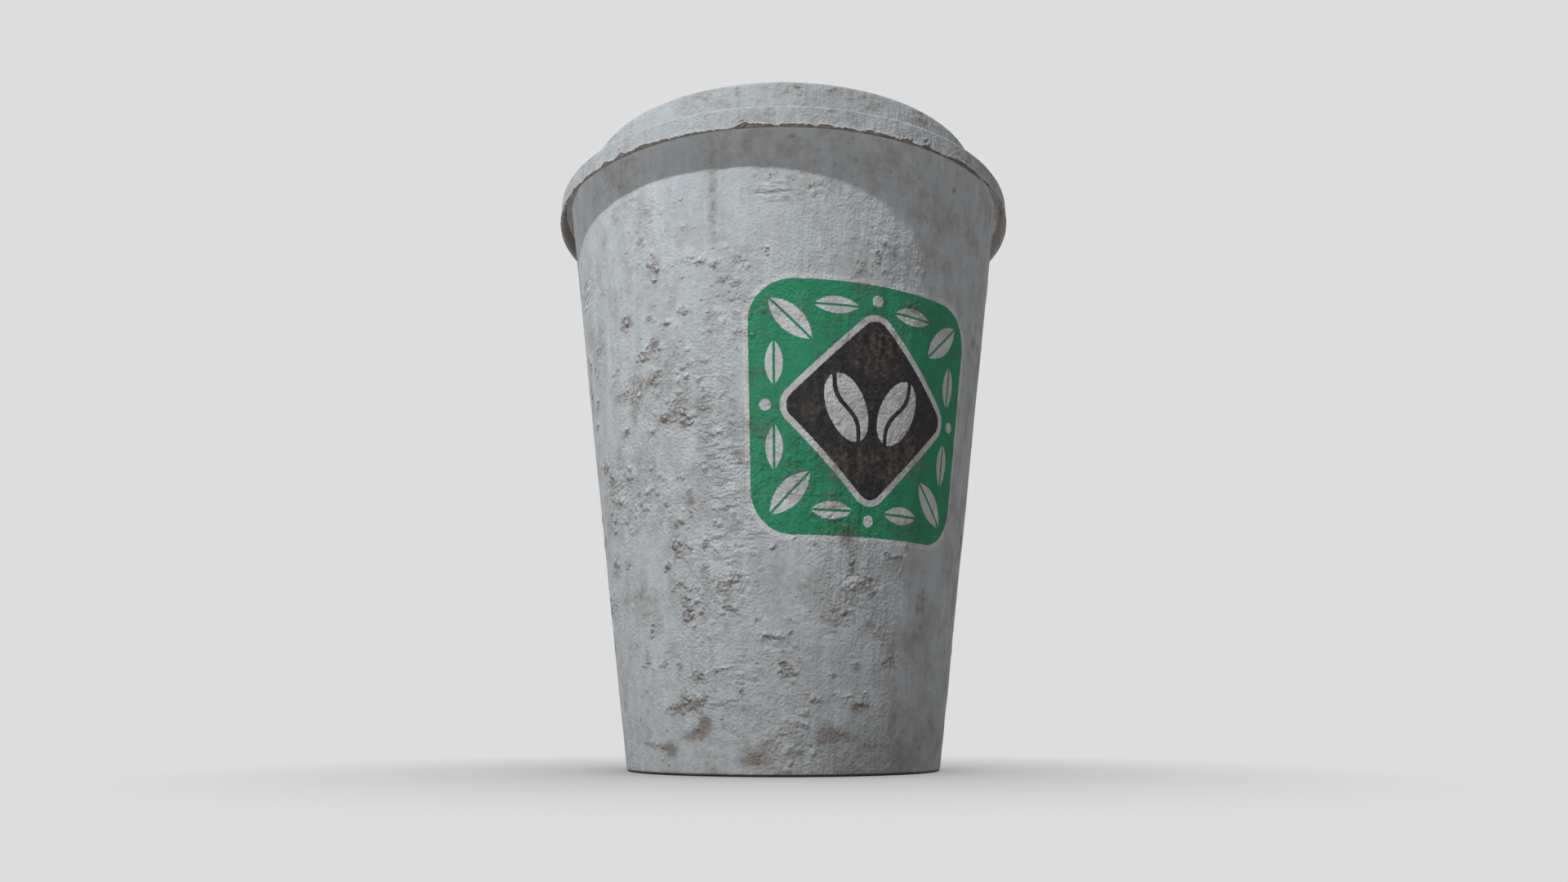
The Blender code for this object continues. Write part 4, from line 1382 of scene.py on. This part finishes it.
        piece = RingSurface("wall_coat", path, azimuths, masks, finish_rows=finish).build()
        for material in finishes:
            piece.data.materials.append(material)
        piece.data.set_sharp_from_angle(angle=SHARP_ANGLE)
        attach(piece, BODY)
        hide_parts(self.NODE)
        log.info("wall_coat: %d faces", len(piece.data.polygons))
        return piece

    @staticmethod
    def inner(mask: str) -> float:
        """Value of a mask on the inner side and the outside of the roll."""
        return {"film": 1.0, "crust": 0.2, "chip": -1.0}.get(mask, 0.0)


@dataclass
class CupBottom:
    """The board dish in the foot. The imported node's own shape is right, so it stays."""

    NODE = "cup_bottom"

    def dress(self, material: bpy.types.Material) -> None:
        """Gives the node its finish.

        Args:
            material: The material.
        """
        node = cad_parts[self.NODE]
        if node.material_slots:
            node.material_slots[0].material = material
        else:
            node.data.materials.append(material)
        log.info("%s: finish %s", self.NODE, material.name)


@dataclass
class SipLid:
    """The formed lid: skirt, shoulder, channel over the rim, plug, groove, dome and deck.

    Lengths are in mm. The top and the skirt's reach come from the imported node's box.

    Attributes:
        wall: The cup's wall, whose slope and board the plug follows.
        sheet: Thickness of the sheet.
        flare: How far the skirt spreads towards its lower edge.
        skirt_height: Lower edge of the skirt to its shoulder.
        shoulder_drop: Top of the channel down to the shoulder.
        crest_width: Flat top of the channel.
        groove_depth: Top of the channel down to the floor of the groove.
        groove_width: Floor of the groove.
        dome_radius: Dome at its upper corner.
        recess_radius: Recess in the top, at its upper corner.
        recess_shift: How far the recess sits behind the axis.
        recess_depth: Drinking ledge down to the deck.
        recess_draft: How far the recess narrows towards the deck.
        bend: Bends of the sheet.
        slot: Length and width of the drinking slot.
        vent: Diameter of the vent hole.
        vent_setback: Distance of the vent hole behind the axis.
        columns: Number of columns round the lid.
    """

    wall: CupWall
    sheet: float = 0.5
    flare: float = 0.1
    skirt_height: float = 3.94
    shoulder_drop: float = 0.71
    crest_width: float = 1.9
    groove_depth: float = 3.5
    groove_width: float = 1.6
    dome_radius: float = 40.25
    recess_radius: float = 32.5
    recess_shift: float = 3.0
    recess_depth: float = 4.0
    recess_draft: float = 0.6
    bend: float = 0.8
    slot: tuple[float, float] = (13.0, 5.0)
    vent: float = 1.6
    vent_setback: float = 24.0
    columns: int = 384

    NODE = "sip_lid"
    SKIN = 0.03
    HIDDEN_STRIDE = 4
    SWELL, LUMP, SUNK = 0.030, 0.016, 0.05
    CRUMBLE, CRUST, LIP, CHIPPED = 0.07, 0.05, 0.05, 0.06
    PLAY = 0.3
    SKIRT_ROWS = 24
    CHIP_BLEND = 0.45
    DRIPS = listed(
        (-12.0, 118.4, 0.7, 0.9, 0.55), (-11.5, 115.5, 0.6, 2.4, 0.38), (-9.2, 109.6, 0.6, 1.5, 0.38),
        (-1.4, 116.8, 0.8, 0.8, 0.55), (-1.3, 119.2, 0.8, 0.4, 0.6), (3.0, 119.0, 0.8, 0.5, 0.7),
        (4.9, 117.9, 0.22, 0.9, 0.8), (5.3, 116.0, 0.20, 1.0, 0.8, 16), (4.8, 114.4, 0.6, 0.8, 0.6),
        (4.5, 109.6, 0.3, 1.4, 0.45), (16.1, 117.4, 0.16, 1.9, 0.75), (17.0, 117.4, 0.14, 1.8, 0.5),
        (19.0, 114.3, 0.5, 0.7, 0.5), (16.0, 108.6, 0.2, 1.4, 0.5), (33.3, 108.7, 0.9, 0.8, 0.6),
        (47.5, 109.2, 1.2, 0.9, 0.5), (43.0, 110.0, 1.2, 0.9, 0.4), (45.0, 107.8, 4.0, 0.6, 0.5),
        (-17.3, 109.2, 0.16, 1.4, 0.8, -18), (-51.5, 110.6, 0.7, 0.6, 0.6),
        (-14.0, 115.7, 0.6, 0.3, 0.7), (-21.5, 114.3, 0.6, 0.7, 0.5), (-31.0, 119.3, 0.6, 0.3, 0.6),
        (-24.0, 116.8, 1.6, 0.7, 0.35), (25.0, 116.6, 2.2, 0.6, 0.32), (57.0, 117.5, 1.0, 0.8, 0.5),
    )
    SPOTS = listed(
        (-12.0, 119.0, 0.6, 0.5, 0.7), (-11.9, 117.5, 0.5, 0.4, 0.7), (-14.0, 115.7, 0.5, 0.3, 0.7),
        (-1.2, 119.4, 0.7, 0.3, 0.7, -30), (3.0, 119.1, 0.7, 0.4, 0.9, -30),
        (-1.5, 116.8, 0.6, 0.6, 0.5), (4.9, 118.3, 0.3, 0.6, 0.7), (-21.5, 114.2, 0.5, 0.6, 0.7),
        (-31.0, 119.3, 0.5, 0.3, 0.7), (-16.6, 110.3, 0.5, 0.4, 0.6), (-8.4, 108.1, 0.9, 0.7, 1.1),
        (-51.6, 110.6, 0.6, 0.5, 0.8), (-39.3, 107.9, 0.6, 0.5, 1.0), (-44.5, 108.0, 0.5, 0.5, 0.9),
        (28.3, 108.0, 0.7, 0.6, 1.1), (33.3, 108.6, 0.8, 0.8, 1.0), (46.0, 108.4, 1.8, 0.6, 0.6),
    )
    CHIPS = (
        (-58.0, 4.0, 0.35), (-51.0, 3.0, 0.3), (-44.5, 0.9, 0.8), (-39.3, 1.0, 0.85), (-33.0, 3.4, 0.5),
        (-27.0, 2.2, 0.3), (-8.4, 1.4, 0.9), (-4.0, 3.5, 0.35), (2.5, 2.6, 0.38), (11.0, 4.0, 0.32),
        (19.0, 0.9, 0.55), (22.5, 2.5, 0.25), (28.3, 1.1, 0.8), (33.3, 1.0, 0.75), (36.0, 1.0, 0.3),
        (45.0, 4.5, 0.65), (56.0, 1.5, 0.45),
    )

    def __post_init__(self) -> None:
        """Reads the lid's top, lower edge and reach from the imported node."""
        low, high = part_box(self.NODE)
        self.ledge = high.z / MM - self.SKIN
        self.edge = low.z / MM
        self.reach = high.x / MM - self.SKIN
        self.shoulder = self.edge + self.skirt_height
        self.crest = self.shoulder + self.shoulder_drop
        self.groove = self.crest - self.groove_depth
        self.deck = self.ledge - self.recess_depth

    def shown_path(self, azimuths: np.ndarray) -> np.ndarray:
        """The side that shows, from the skirt's lower edge over the channel to the axis.

        Args:
            azimuths: Azimuth of each column, in degrees.

        Returns:
            Rows by columns by 2, radius and height in mm.
        """
        behind = -np.cos(np.radians(azimuths))
        across = self.recess_shift * np.sin(np.radians(azimuths))
        recess = self.recess_shift * behind + np.sqrt(self.recess_radius**2 - across**2)
        depth = (self.wall.board + self.PLAY + self.sheet) / math.cos(math.atan(self.wall.slope))
        plug_top = self.wall.wall_radius(self.crest) - depth
        plug_foot = self.wall.wall_radius(self.groove) - depth
        corners = [
            Corner(self.reach, self.edge),
            Corner(self.reach - self.flare, self.shoulder, 0.45, 0.24),
            Corner(plug_top + self.crest_width, self.crest, self.bend, 0.5),
            Corner(plug_top, self.crest, self.bend, 0.5),
            Corner(plug_foot, self.groove, self.bend, 0.7),
            Corner(plug_foot - self.groove_width, self.groove, self.bend, 0.5),
            Corner(self.dome_radius, self.ledge, self.bend, 0.55),
            Corner(recess, self.ledge, self.bend, 0.6),
            Corner(recess - self.recess_draft, self.deck, self.bend, 0.6),
            Corner(0.0, self.deck, 0.0, 0.75),
        ]
        return rounded_path(corners, len(azimuths))

    def edge_damage(self, azimuths: np.ndarray) -> np.ndarray:
        """Height to which the coat is broken off the skirt's lower edge.

        Args:
            azimuths: Azimuth of each column, in degrees.

        Returns:
            The height above the edge, in mm.
        """
        angle = np.radians(azimuths)
        round_lid = np.stack((np.cos(angle), np.sin(angle), np.zeros_like(angle)), axis=-1) * self.reach
        ragged = LatticeNoise((2.4, 2.4, 2.4), 3, 21).at(round_lid)
        slow = LatticeNoise((14.0, 14.0, 14.0), 2, 23).at(round_lid)
        height = 0.08 + 0.17 * ragged + 0.12 * slow
        for middle, half, extra in self.CHIPS:
            turn = (azimuths - middle + 180.0) % 360.0 - 180.0
            height = height + extra * np.exp(-((turn / half) ** 2))
        return np.clip(height, 0.05, None)

    def spots(self) -> tuple[Blemish, ...]:
        """Brown spots on the skirt and the dome.

        Returns:
            The listed spots, and others strewn over the rest of the lid.
        """
        draw = np.random.default_rng(31)
        count = 120
        rows = np.column_stack(
            (
                draw.uniform(58.0, 302.0, count),
                draw.uniform(107.5, 120.0, count),
                draw.uniform(0.4, 1.6, count),
                draw.uniform(0.3, 0.9, count),
                draw.uniform(0.4, 1.0, count),
                draw.uniform(-40.0, 40.0, count),
            )
        )
        return self.SPOTS + listed(*rows.tolist())

    def build(self, material: bpy.types.Material) -> bpy.types.Object:
        """Makes the lid.

        Args:
            material: Its finish.

        Returns:
            The piece.
        """
        azimuths = np.linspace(-180.0, 180.0, self.columns, endpoint=False)
        shown = self.shown_path(azimuths)
        rows = len(shown)
        radius, height = shown[..., 0], shown[..., 1]
        points = RingSurface(self.NODE, shown, azimuths, {}).points()
        on_skirt = (np.arange(rows)[:, None] < self.SKIRT_ROWS) & (height < self.shoulder)
        upright = radius > self.dome_radius - 0.2
        crust = summed(self.spots(), azimuths, shown)
        drips = summed(self.DRIPS, azimuths, shown)
        top_cloud = LatticeNoise((8.0, 8.0, 8.0), 4, 41).at(points)
        on_top = ~upright
        crust = np.where(on_top, np.clip(top_cloud * 1.6 - 0.75, 0.0, 1.1), crust)
        above = height - self.edge
        broken = self.edge_damage(azimuths)[None, :]
        chip = np.where(on_skirt, np.clip(0.5 + (broken - above) / self.CHIP_BLEND, -1.0, 1.4), -1.0)
        in_groove = (height < self.crest - 0.9) & (radius < self.dome_radius + 3.5) & (~on_skirt)
        corner_dust = np.exp(-(((height - self.deck) / 0.7) ** 2))
        corner_dust *= np.clip((radius - 24.0) / 6.0, 0.0, 1.0)
        film = 0.10 + 0.5 * on_top * np.clip(0.45 + top_cloud, 0.0, 1.0) + 0.75 * in_groove
        film = film + 0.6 * corner_dust * on_top + 0.2 * np.minimum(crust, 1.0) + drips * upright

        swell = LatticeNoise((8.0, 8.0, 8.0), 2, 43).at(points)
        lumps = LatticeNoise((2.2, 2.2, 2.2), 2, 45).at(points)
        crumble = LatticeNoise((1.5, 1.5, 1.5), 2, 47).at(points)
        relief = self.SWELL * swell + self.LUMP * lumps - self.SUNK
        relief = relief + np.minimum(crust, 1.0) * (self.CRUMBLE * crumble - self.CRUST)
        lip = np.exp(-(((above - broken - 0.20) / 0.22) ** 2)) * on_skirt
        relief = relief + self.LIP * lip - self.CHIPPED * np.clip(chip, 0.0, 1.0)
        relief = np.minimum(relief, 0.0) * np.clip(radius / 2.0, 0.0, 1.0)

        under = hidden_side(shown, self.sheet)
        outward = hidden_side(shown, -1.0) - shown
        skin = shown + outward * relief[..., None]
        skin[-1] = shown[-1]
        course = np.moveaxis(np.gradient(shown, axis=0), -1, 0)
        bends = np.abs(np.gradient(np.unwrap(np.arctan2(*course), axis=0), axis=0))
        chosen = thinned(rows, bends.max(axis=1) > 0.05, self.HIDDEN_STRIDE)
        path = np.concatenate((skin[::-1], under[chosen]))
        # Painted shade: the lid's upright sides are darkened towards the front, round azimuth 0, more
        # above the skirt than on it.
        side_shade = np.exp(-((azimuths / 38.0) ** 2))
        hidden = {"crust": 0.1, "film": 1.0}
        shown_masks = {
            "crust": np.minimum(crust, 1.2),
            "film": film,
            "wrinkle": np.zeros_like(film),
            "chip": chip,
            "dust": side_shade[None, :] * np.where(on_skirt, 0.45, 0.9) * upright,
            "damp": np.zeros_like(film),
            "grain": np.full_like(film, 0.8),
        }
        masks = {}
        for name, values in shown_masks.items():
            back = np.full((len(chosen), self.columns), hidden.get(name, 0.0))
            if name == "film":
                back[0] = 0.25
            if name == "chip":
                back[:] = -1.0
            # Painted shade: the lid's hidden side is darkened, most within the channel and over the
            # cup's mouth, less inside the skirt.
            if name == "damp":
                back[:] = np.where(under[chosen][..., 0] < self.dome_radius + 2.0, 0.85, 0.35)
            masks[name] = np.concatenate((values[::-1], back))
        piece = RingSurface("lid_skin", path, azimuths, masks, poles=True).build()
        self.cut_holes(piece)
        piece.data.materials.clear()
        piece.data.materials.append(material)
        piece.data.set_sharp_from_angle(angle=SHARP_ANGLE)
        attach(piece, BODY)
        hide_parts(self.NODE)
        log.info("lid_skin: %d faces", len(piece.data.polygons))
        return piece

    def cut_holes(self, piece: bpy.types.Object) -> None:
        """Cuts the drinking slot and the vent hole through the lid's top.

        Args:
            piece: The lid.
        """
        recess_front = self.recess_radius - self.recess_shift
        setback = (self.dome_radius + recess_front) / 2.0
        length, width = self.slot
        cutters = (
            self.cutter("drinking_slot", width, length, -setback),
            self.cutter("vent_hole", self.vent, self.vent, self.vent_setback),
        )
        for cutter in cutters:
            modifier = piece.modifiers.new(cutter.name, "BOOLEAN")
            modifier.operation = "DIFFERENCE"
            modifier.object = cutter
        graph = bpy.context.evaluated_depsgraph_get()
        cut = bpy.data.meshes.new_from_object(piece.evaluated_get(graph))
        piece.modifiers.clear()
        piece.data = cut
        for cutter in cutters:
            bpy.data.objects.remove(cutter)

    def cutter(self, name: str, width: float, length: float, y: float) -> bpy.types.Object:
        """An upright prism with round ends.

        Its outline is a circle of half the width, parted at x = 0 to reach the length.

        Args:
            name: Name of the cutter.
            width: Its width along y, in mm.
            length: Its length along x, in mm.
            y: Place of its axis, in mm.

        Returns:
            The cutter.
        """
        sides = 36
        angle = (np.arange(sides) + 0.5) * 2.0 * np.pi / sides
        x = np.cos(angle) * width / 2.0
        x = x + np.sign(x) * (length - width) / 2.0
        outline = np.stack((x, y + np.sin(angle) * width / 2.0), axis=-1)
        low, high = self.deck - 3.0, self.ledge + 3.0
        ends = [np.column_stack((outline, np.full(sides, z))) for z in (low, high)]
        ring = np.arange(sides)
        following = (ring + 1) % sides
        walls = np.stack((ring, following, following + sides, ring + sides), axis=-1)
        mesh = bpy.data.meshes.new(name)
        faces = walls.tolist() + [ring[::-1].tolist(), (ring + sides).tolist()]
        mesh.from_pydata((np.concatenate(ends) * MM).tolist(), [], faces)
        cutter = bpy.data.objects.new(name, mesh)
        bpy.context.scene.collection.objects.link(cutter)
        return cutter


# The studio


@dataclass(frozen=True)
class Studio:
    """Floor, backdrop, light and camera.

    Attributes:
        backdrop: Linear colour of floor and backdrop as the camera sees them.
        sky: Strength of the soft light from all round, which leaves dark corners.
        tint: Colour of the soft light.
        fill_left: Strength of the shadowless light from the left half of the sky.
        fill_right: Strength of the one from the right half.
        key: Strength of the key lamp where the cup stands, in watts per square metre.
        key_tint: Its colour.
        key_place: Place of the key lamp, in metres.
        key_radius: Its radius, in metres.
        contact: How far the soft contact shadow reaches, in metres.
        camera_place: Place of the camera, in metres.
        camera_rise: How far it looks above the horizon, in degrees.
        camera_lens: Its focal length in mm on a sensor 36 mm wide.
    """

    backdrop: float = 0.723
    sky: float = 0.080
    tint: Colour = (1.045, 1.0, 1.015)
    fill_left: float = 1.21
    fill_right: float = 0.60
    key: float = 3.40
    key_tint: Colour = (0.967, 1.0, 1.018)
    key_place: Place = (-0.116, -0.227, 0.429)
    key_radius: float = 0.007
    contact: float = 0.085
    camera_place: Place = (0.00012, -0.2092, 0.00829)
    camera_rise: float = 14.840
    camera_lens: float = 24.530

    FLOOR_SIZE = 8.0
    GROUND = (0.03, 0.03, 0.03)
    SHADE_SAMPLES = 6
    AIM = (0.0, -0.04, 0.095)
    SENSOR_WIDTH = 36.0

    @staticmethod
    def show(tree: bpy.types.NodeTree, seen: bpy.types.Node, lit: bpy.types.Node, output: str) -> None:
        """Ends a tree: camera, glossy and transmission rays meet one shader, all others another.

        Args:
            tree: The node tree of the floor or of the world.
            seen: The shader that shows the backdrop.
            lit: The shader for the rays that only gather light.
            output: Type of the output node.
        """
        ray = new_node(tree, "LightPath")
        camera, glossy, through = (
            Term(tree, ray.outputs[f"Is {kind} Ray"]) for kind in ("Camera", "Glossy", "Transmission")
        )
        shaders = {1: Term(tree, lit.outputs[0]), 2: Term(tree, seen.outputs[0])}
        choice = new_node(tree, "MixShader", {0: camera.larger(glossy).larger(through)} | shaders)
        new_node(tree, output, {"Surface": Term(tree, choice.outputs[0])})

    def floor(self) -> None:
        """Lays a wide floor that shows the backdrop's colour and the cup's contact shadow."""
        bpy.ops.mesh.primitive_plane_add(size=self.FLOOR_SIZE)
        floor = bpy.context.object
        floor.name = "floor"
        material = bpy.data.materials.new("pale_floor")
        material.use_nodes = True
        tree = material.node_tree
        tree.nodes.clear()
        reach = {"Distance": self.contact}
        shade = new_node(tree, "AmbientOcclusion", reach, samples=self.SHADE_SAMPLES)
        seen = new_node(tree, "Emission", {"Color": Term(tree, shade.outputs["AO"]) * self.backdrop})
        lit = new_node(tree, "BsdfDiffuse", {"Color": self.GROUND})
        self.show(tree, seen, lit, "OutputMaterial")
        floor.data.materials.append(material)

    def world(self) -> None:
        """Surrounds the cup with soft light, and shows the camera a plain backdrop."""
        world = bpy.data.worlds.new("studio")
        bpy.context.scene.world = world
        world.use_nodes = True
        tree = world.node_tree
        tree.nodes.clear()
        lit = new_node(tree, "Background", {"Color": self.tint, "Strength": self.sky})
        seen = new_node(tree, "Background", {"Color": (self.backdrop,) * 3})
        self.show(tree, seen, lit, "OutputWorld")

    def hang(self, lamp: bpy.types.Light, way: Vector) -> bpy.types.Object:
        """Puts a lamp into the scene.

        Args:
            lamp: The lamp.
            way: Direction from which it shines.

        Returns:
            The lamp's object.
        """
        holder = bpy.data.objects.new(lamp.name, lamp)
        holder.rotation_euler = way.to_track_quat("Z", "Y").to_euler()
        holder.visible_camera = False
        bpy.context.scene.collection.objects.link(holder)
        return holder

    def lamps(self) -> None:
        """Hangs the key lamp at the front left, and one half of the sky on either side."""
        key = bpy.data.lights.new("key", "POINT")
        place = Vector(self.key_place)
        reach = (place - Vector(self.AIM)).length
        key.energy = self.key * 4.0 * math.pi * reach**2
        key.color = self.key_tint
        key.shadow_soft_size = self.key_radius
        self.hang(key, place).location = place
        for side, strength in ((-1.0, self.fill_left), (1.0, self.fill_right)):
            fill = bpy.data.lights.new("fill", "SUN")
            fill.energy = strength
            fill.color = self.tint
            fill.angle = math.pi
            fill.use_shadow = False
            fill.cycles.use_multiple_importance_sampling = False
            self.hang(fill, Vector((side, 0.0, 0.0)))

    def camera(self) -> None:
        """Sets the camera low in front of the cup, looking up at the lid."""
        lens = bpy.data.cameras.new("camera")
        lens.sensor_width = self.SENSOR_WIDTH
        lens.lens = self.camera_lens
        lens.clip_start = 0.01
        holder = bpy.data.objects.new("camera", lens)
        holder.location = self.camera_place
        holder.rotation_euler = (math.radians(90.0 + self.camera_rise), 0.0, 0.0)
        bpy.context.scene.collection.objects.link(holder)
        bpy.context.scene.camera = holder

    def set_up(self) -> None:
        """Builds the whole studio."""
        self.floor()
        self.world()
        self.lamps()
        self.camera()
        bpy.context.scene.view_settings.view_transform = "Standard"
        log.info("studio: floor, sky, key lamp and camera")


def main() -> None:
    """Builds the cup's pieces and the studio in order."""
    logging.basicConfig(level=logging.INFO, format="%(name)s: %(message)s")
    board = PrintedBoard().material()
    fibre = PlainBoard().material()
    plastic = FormedPlastic().material()
    wall = CupWall()
    wall.build([board, fibre])
    CupBottom().dress(fibre)
    SipLid(wall).build(plastic)
    Studio().set_up()


if __name__ == "__main__":
    main()
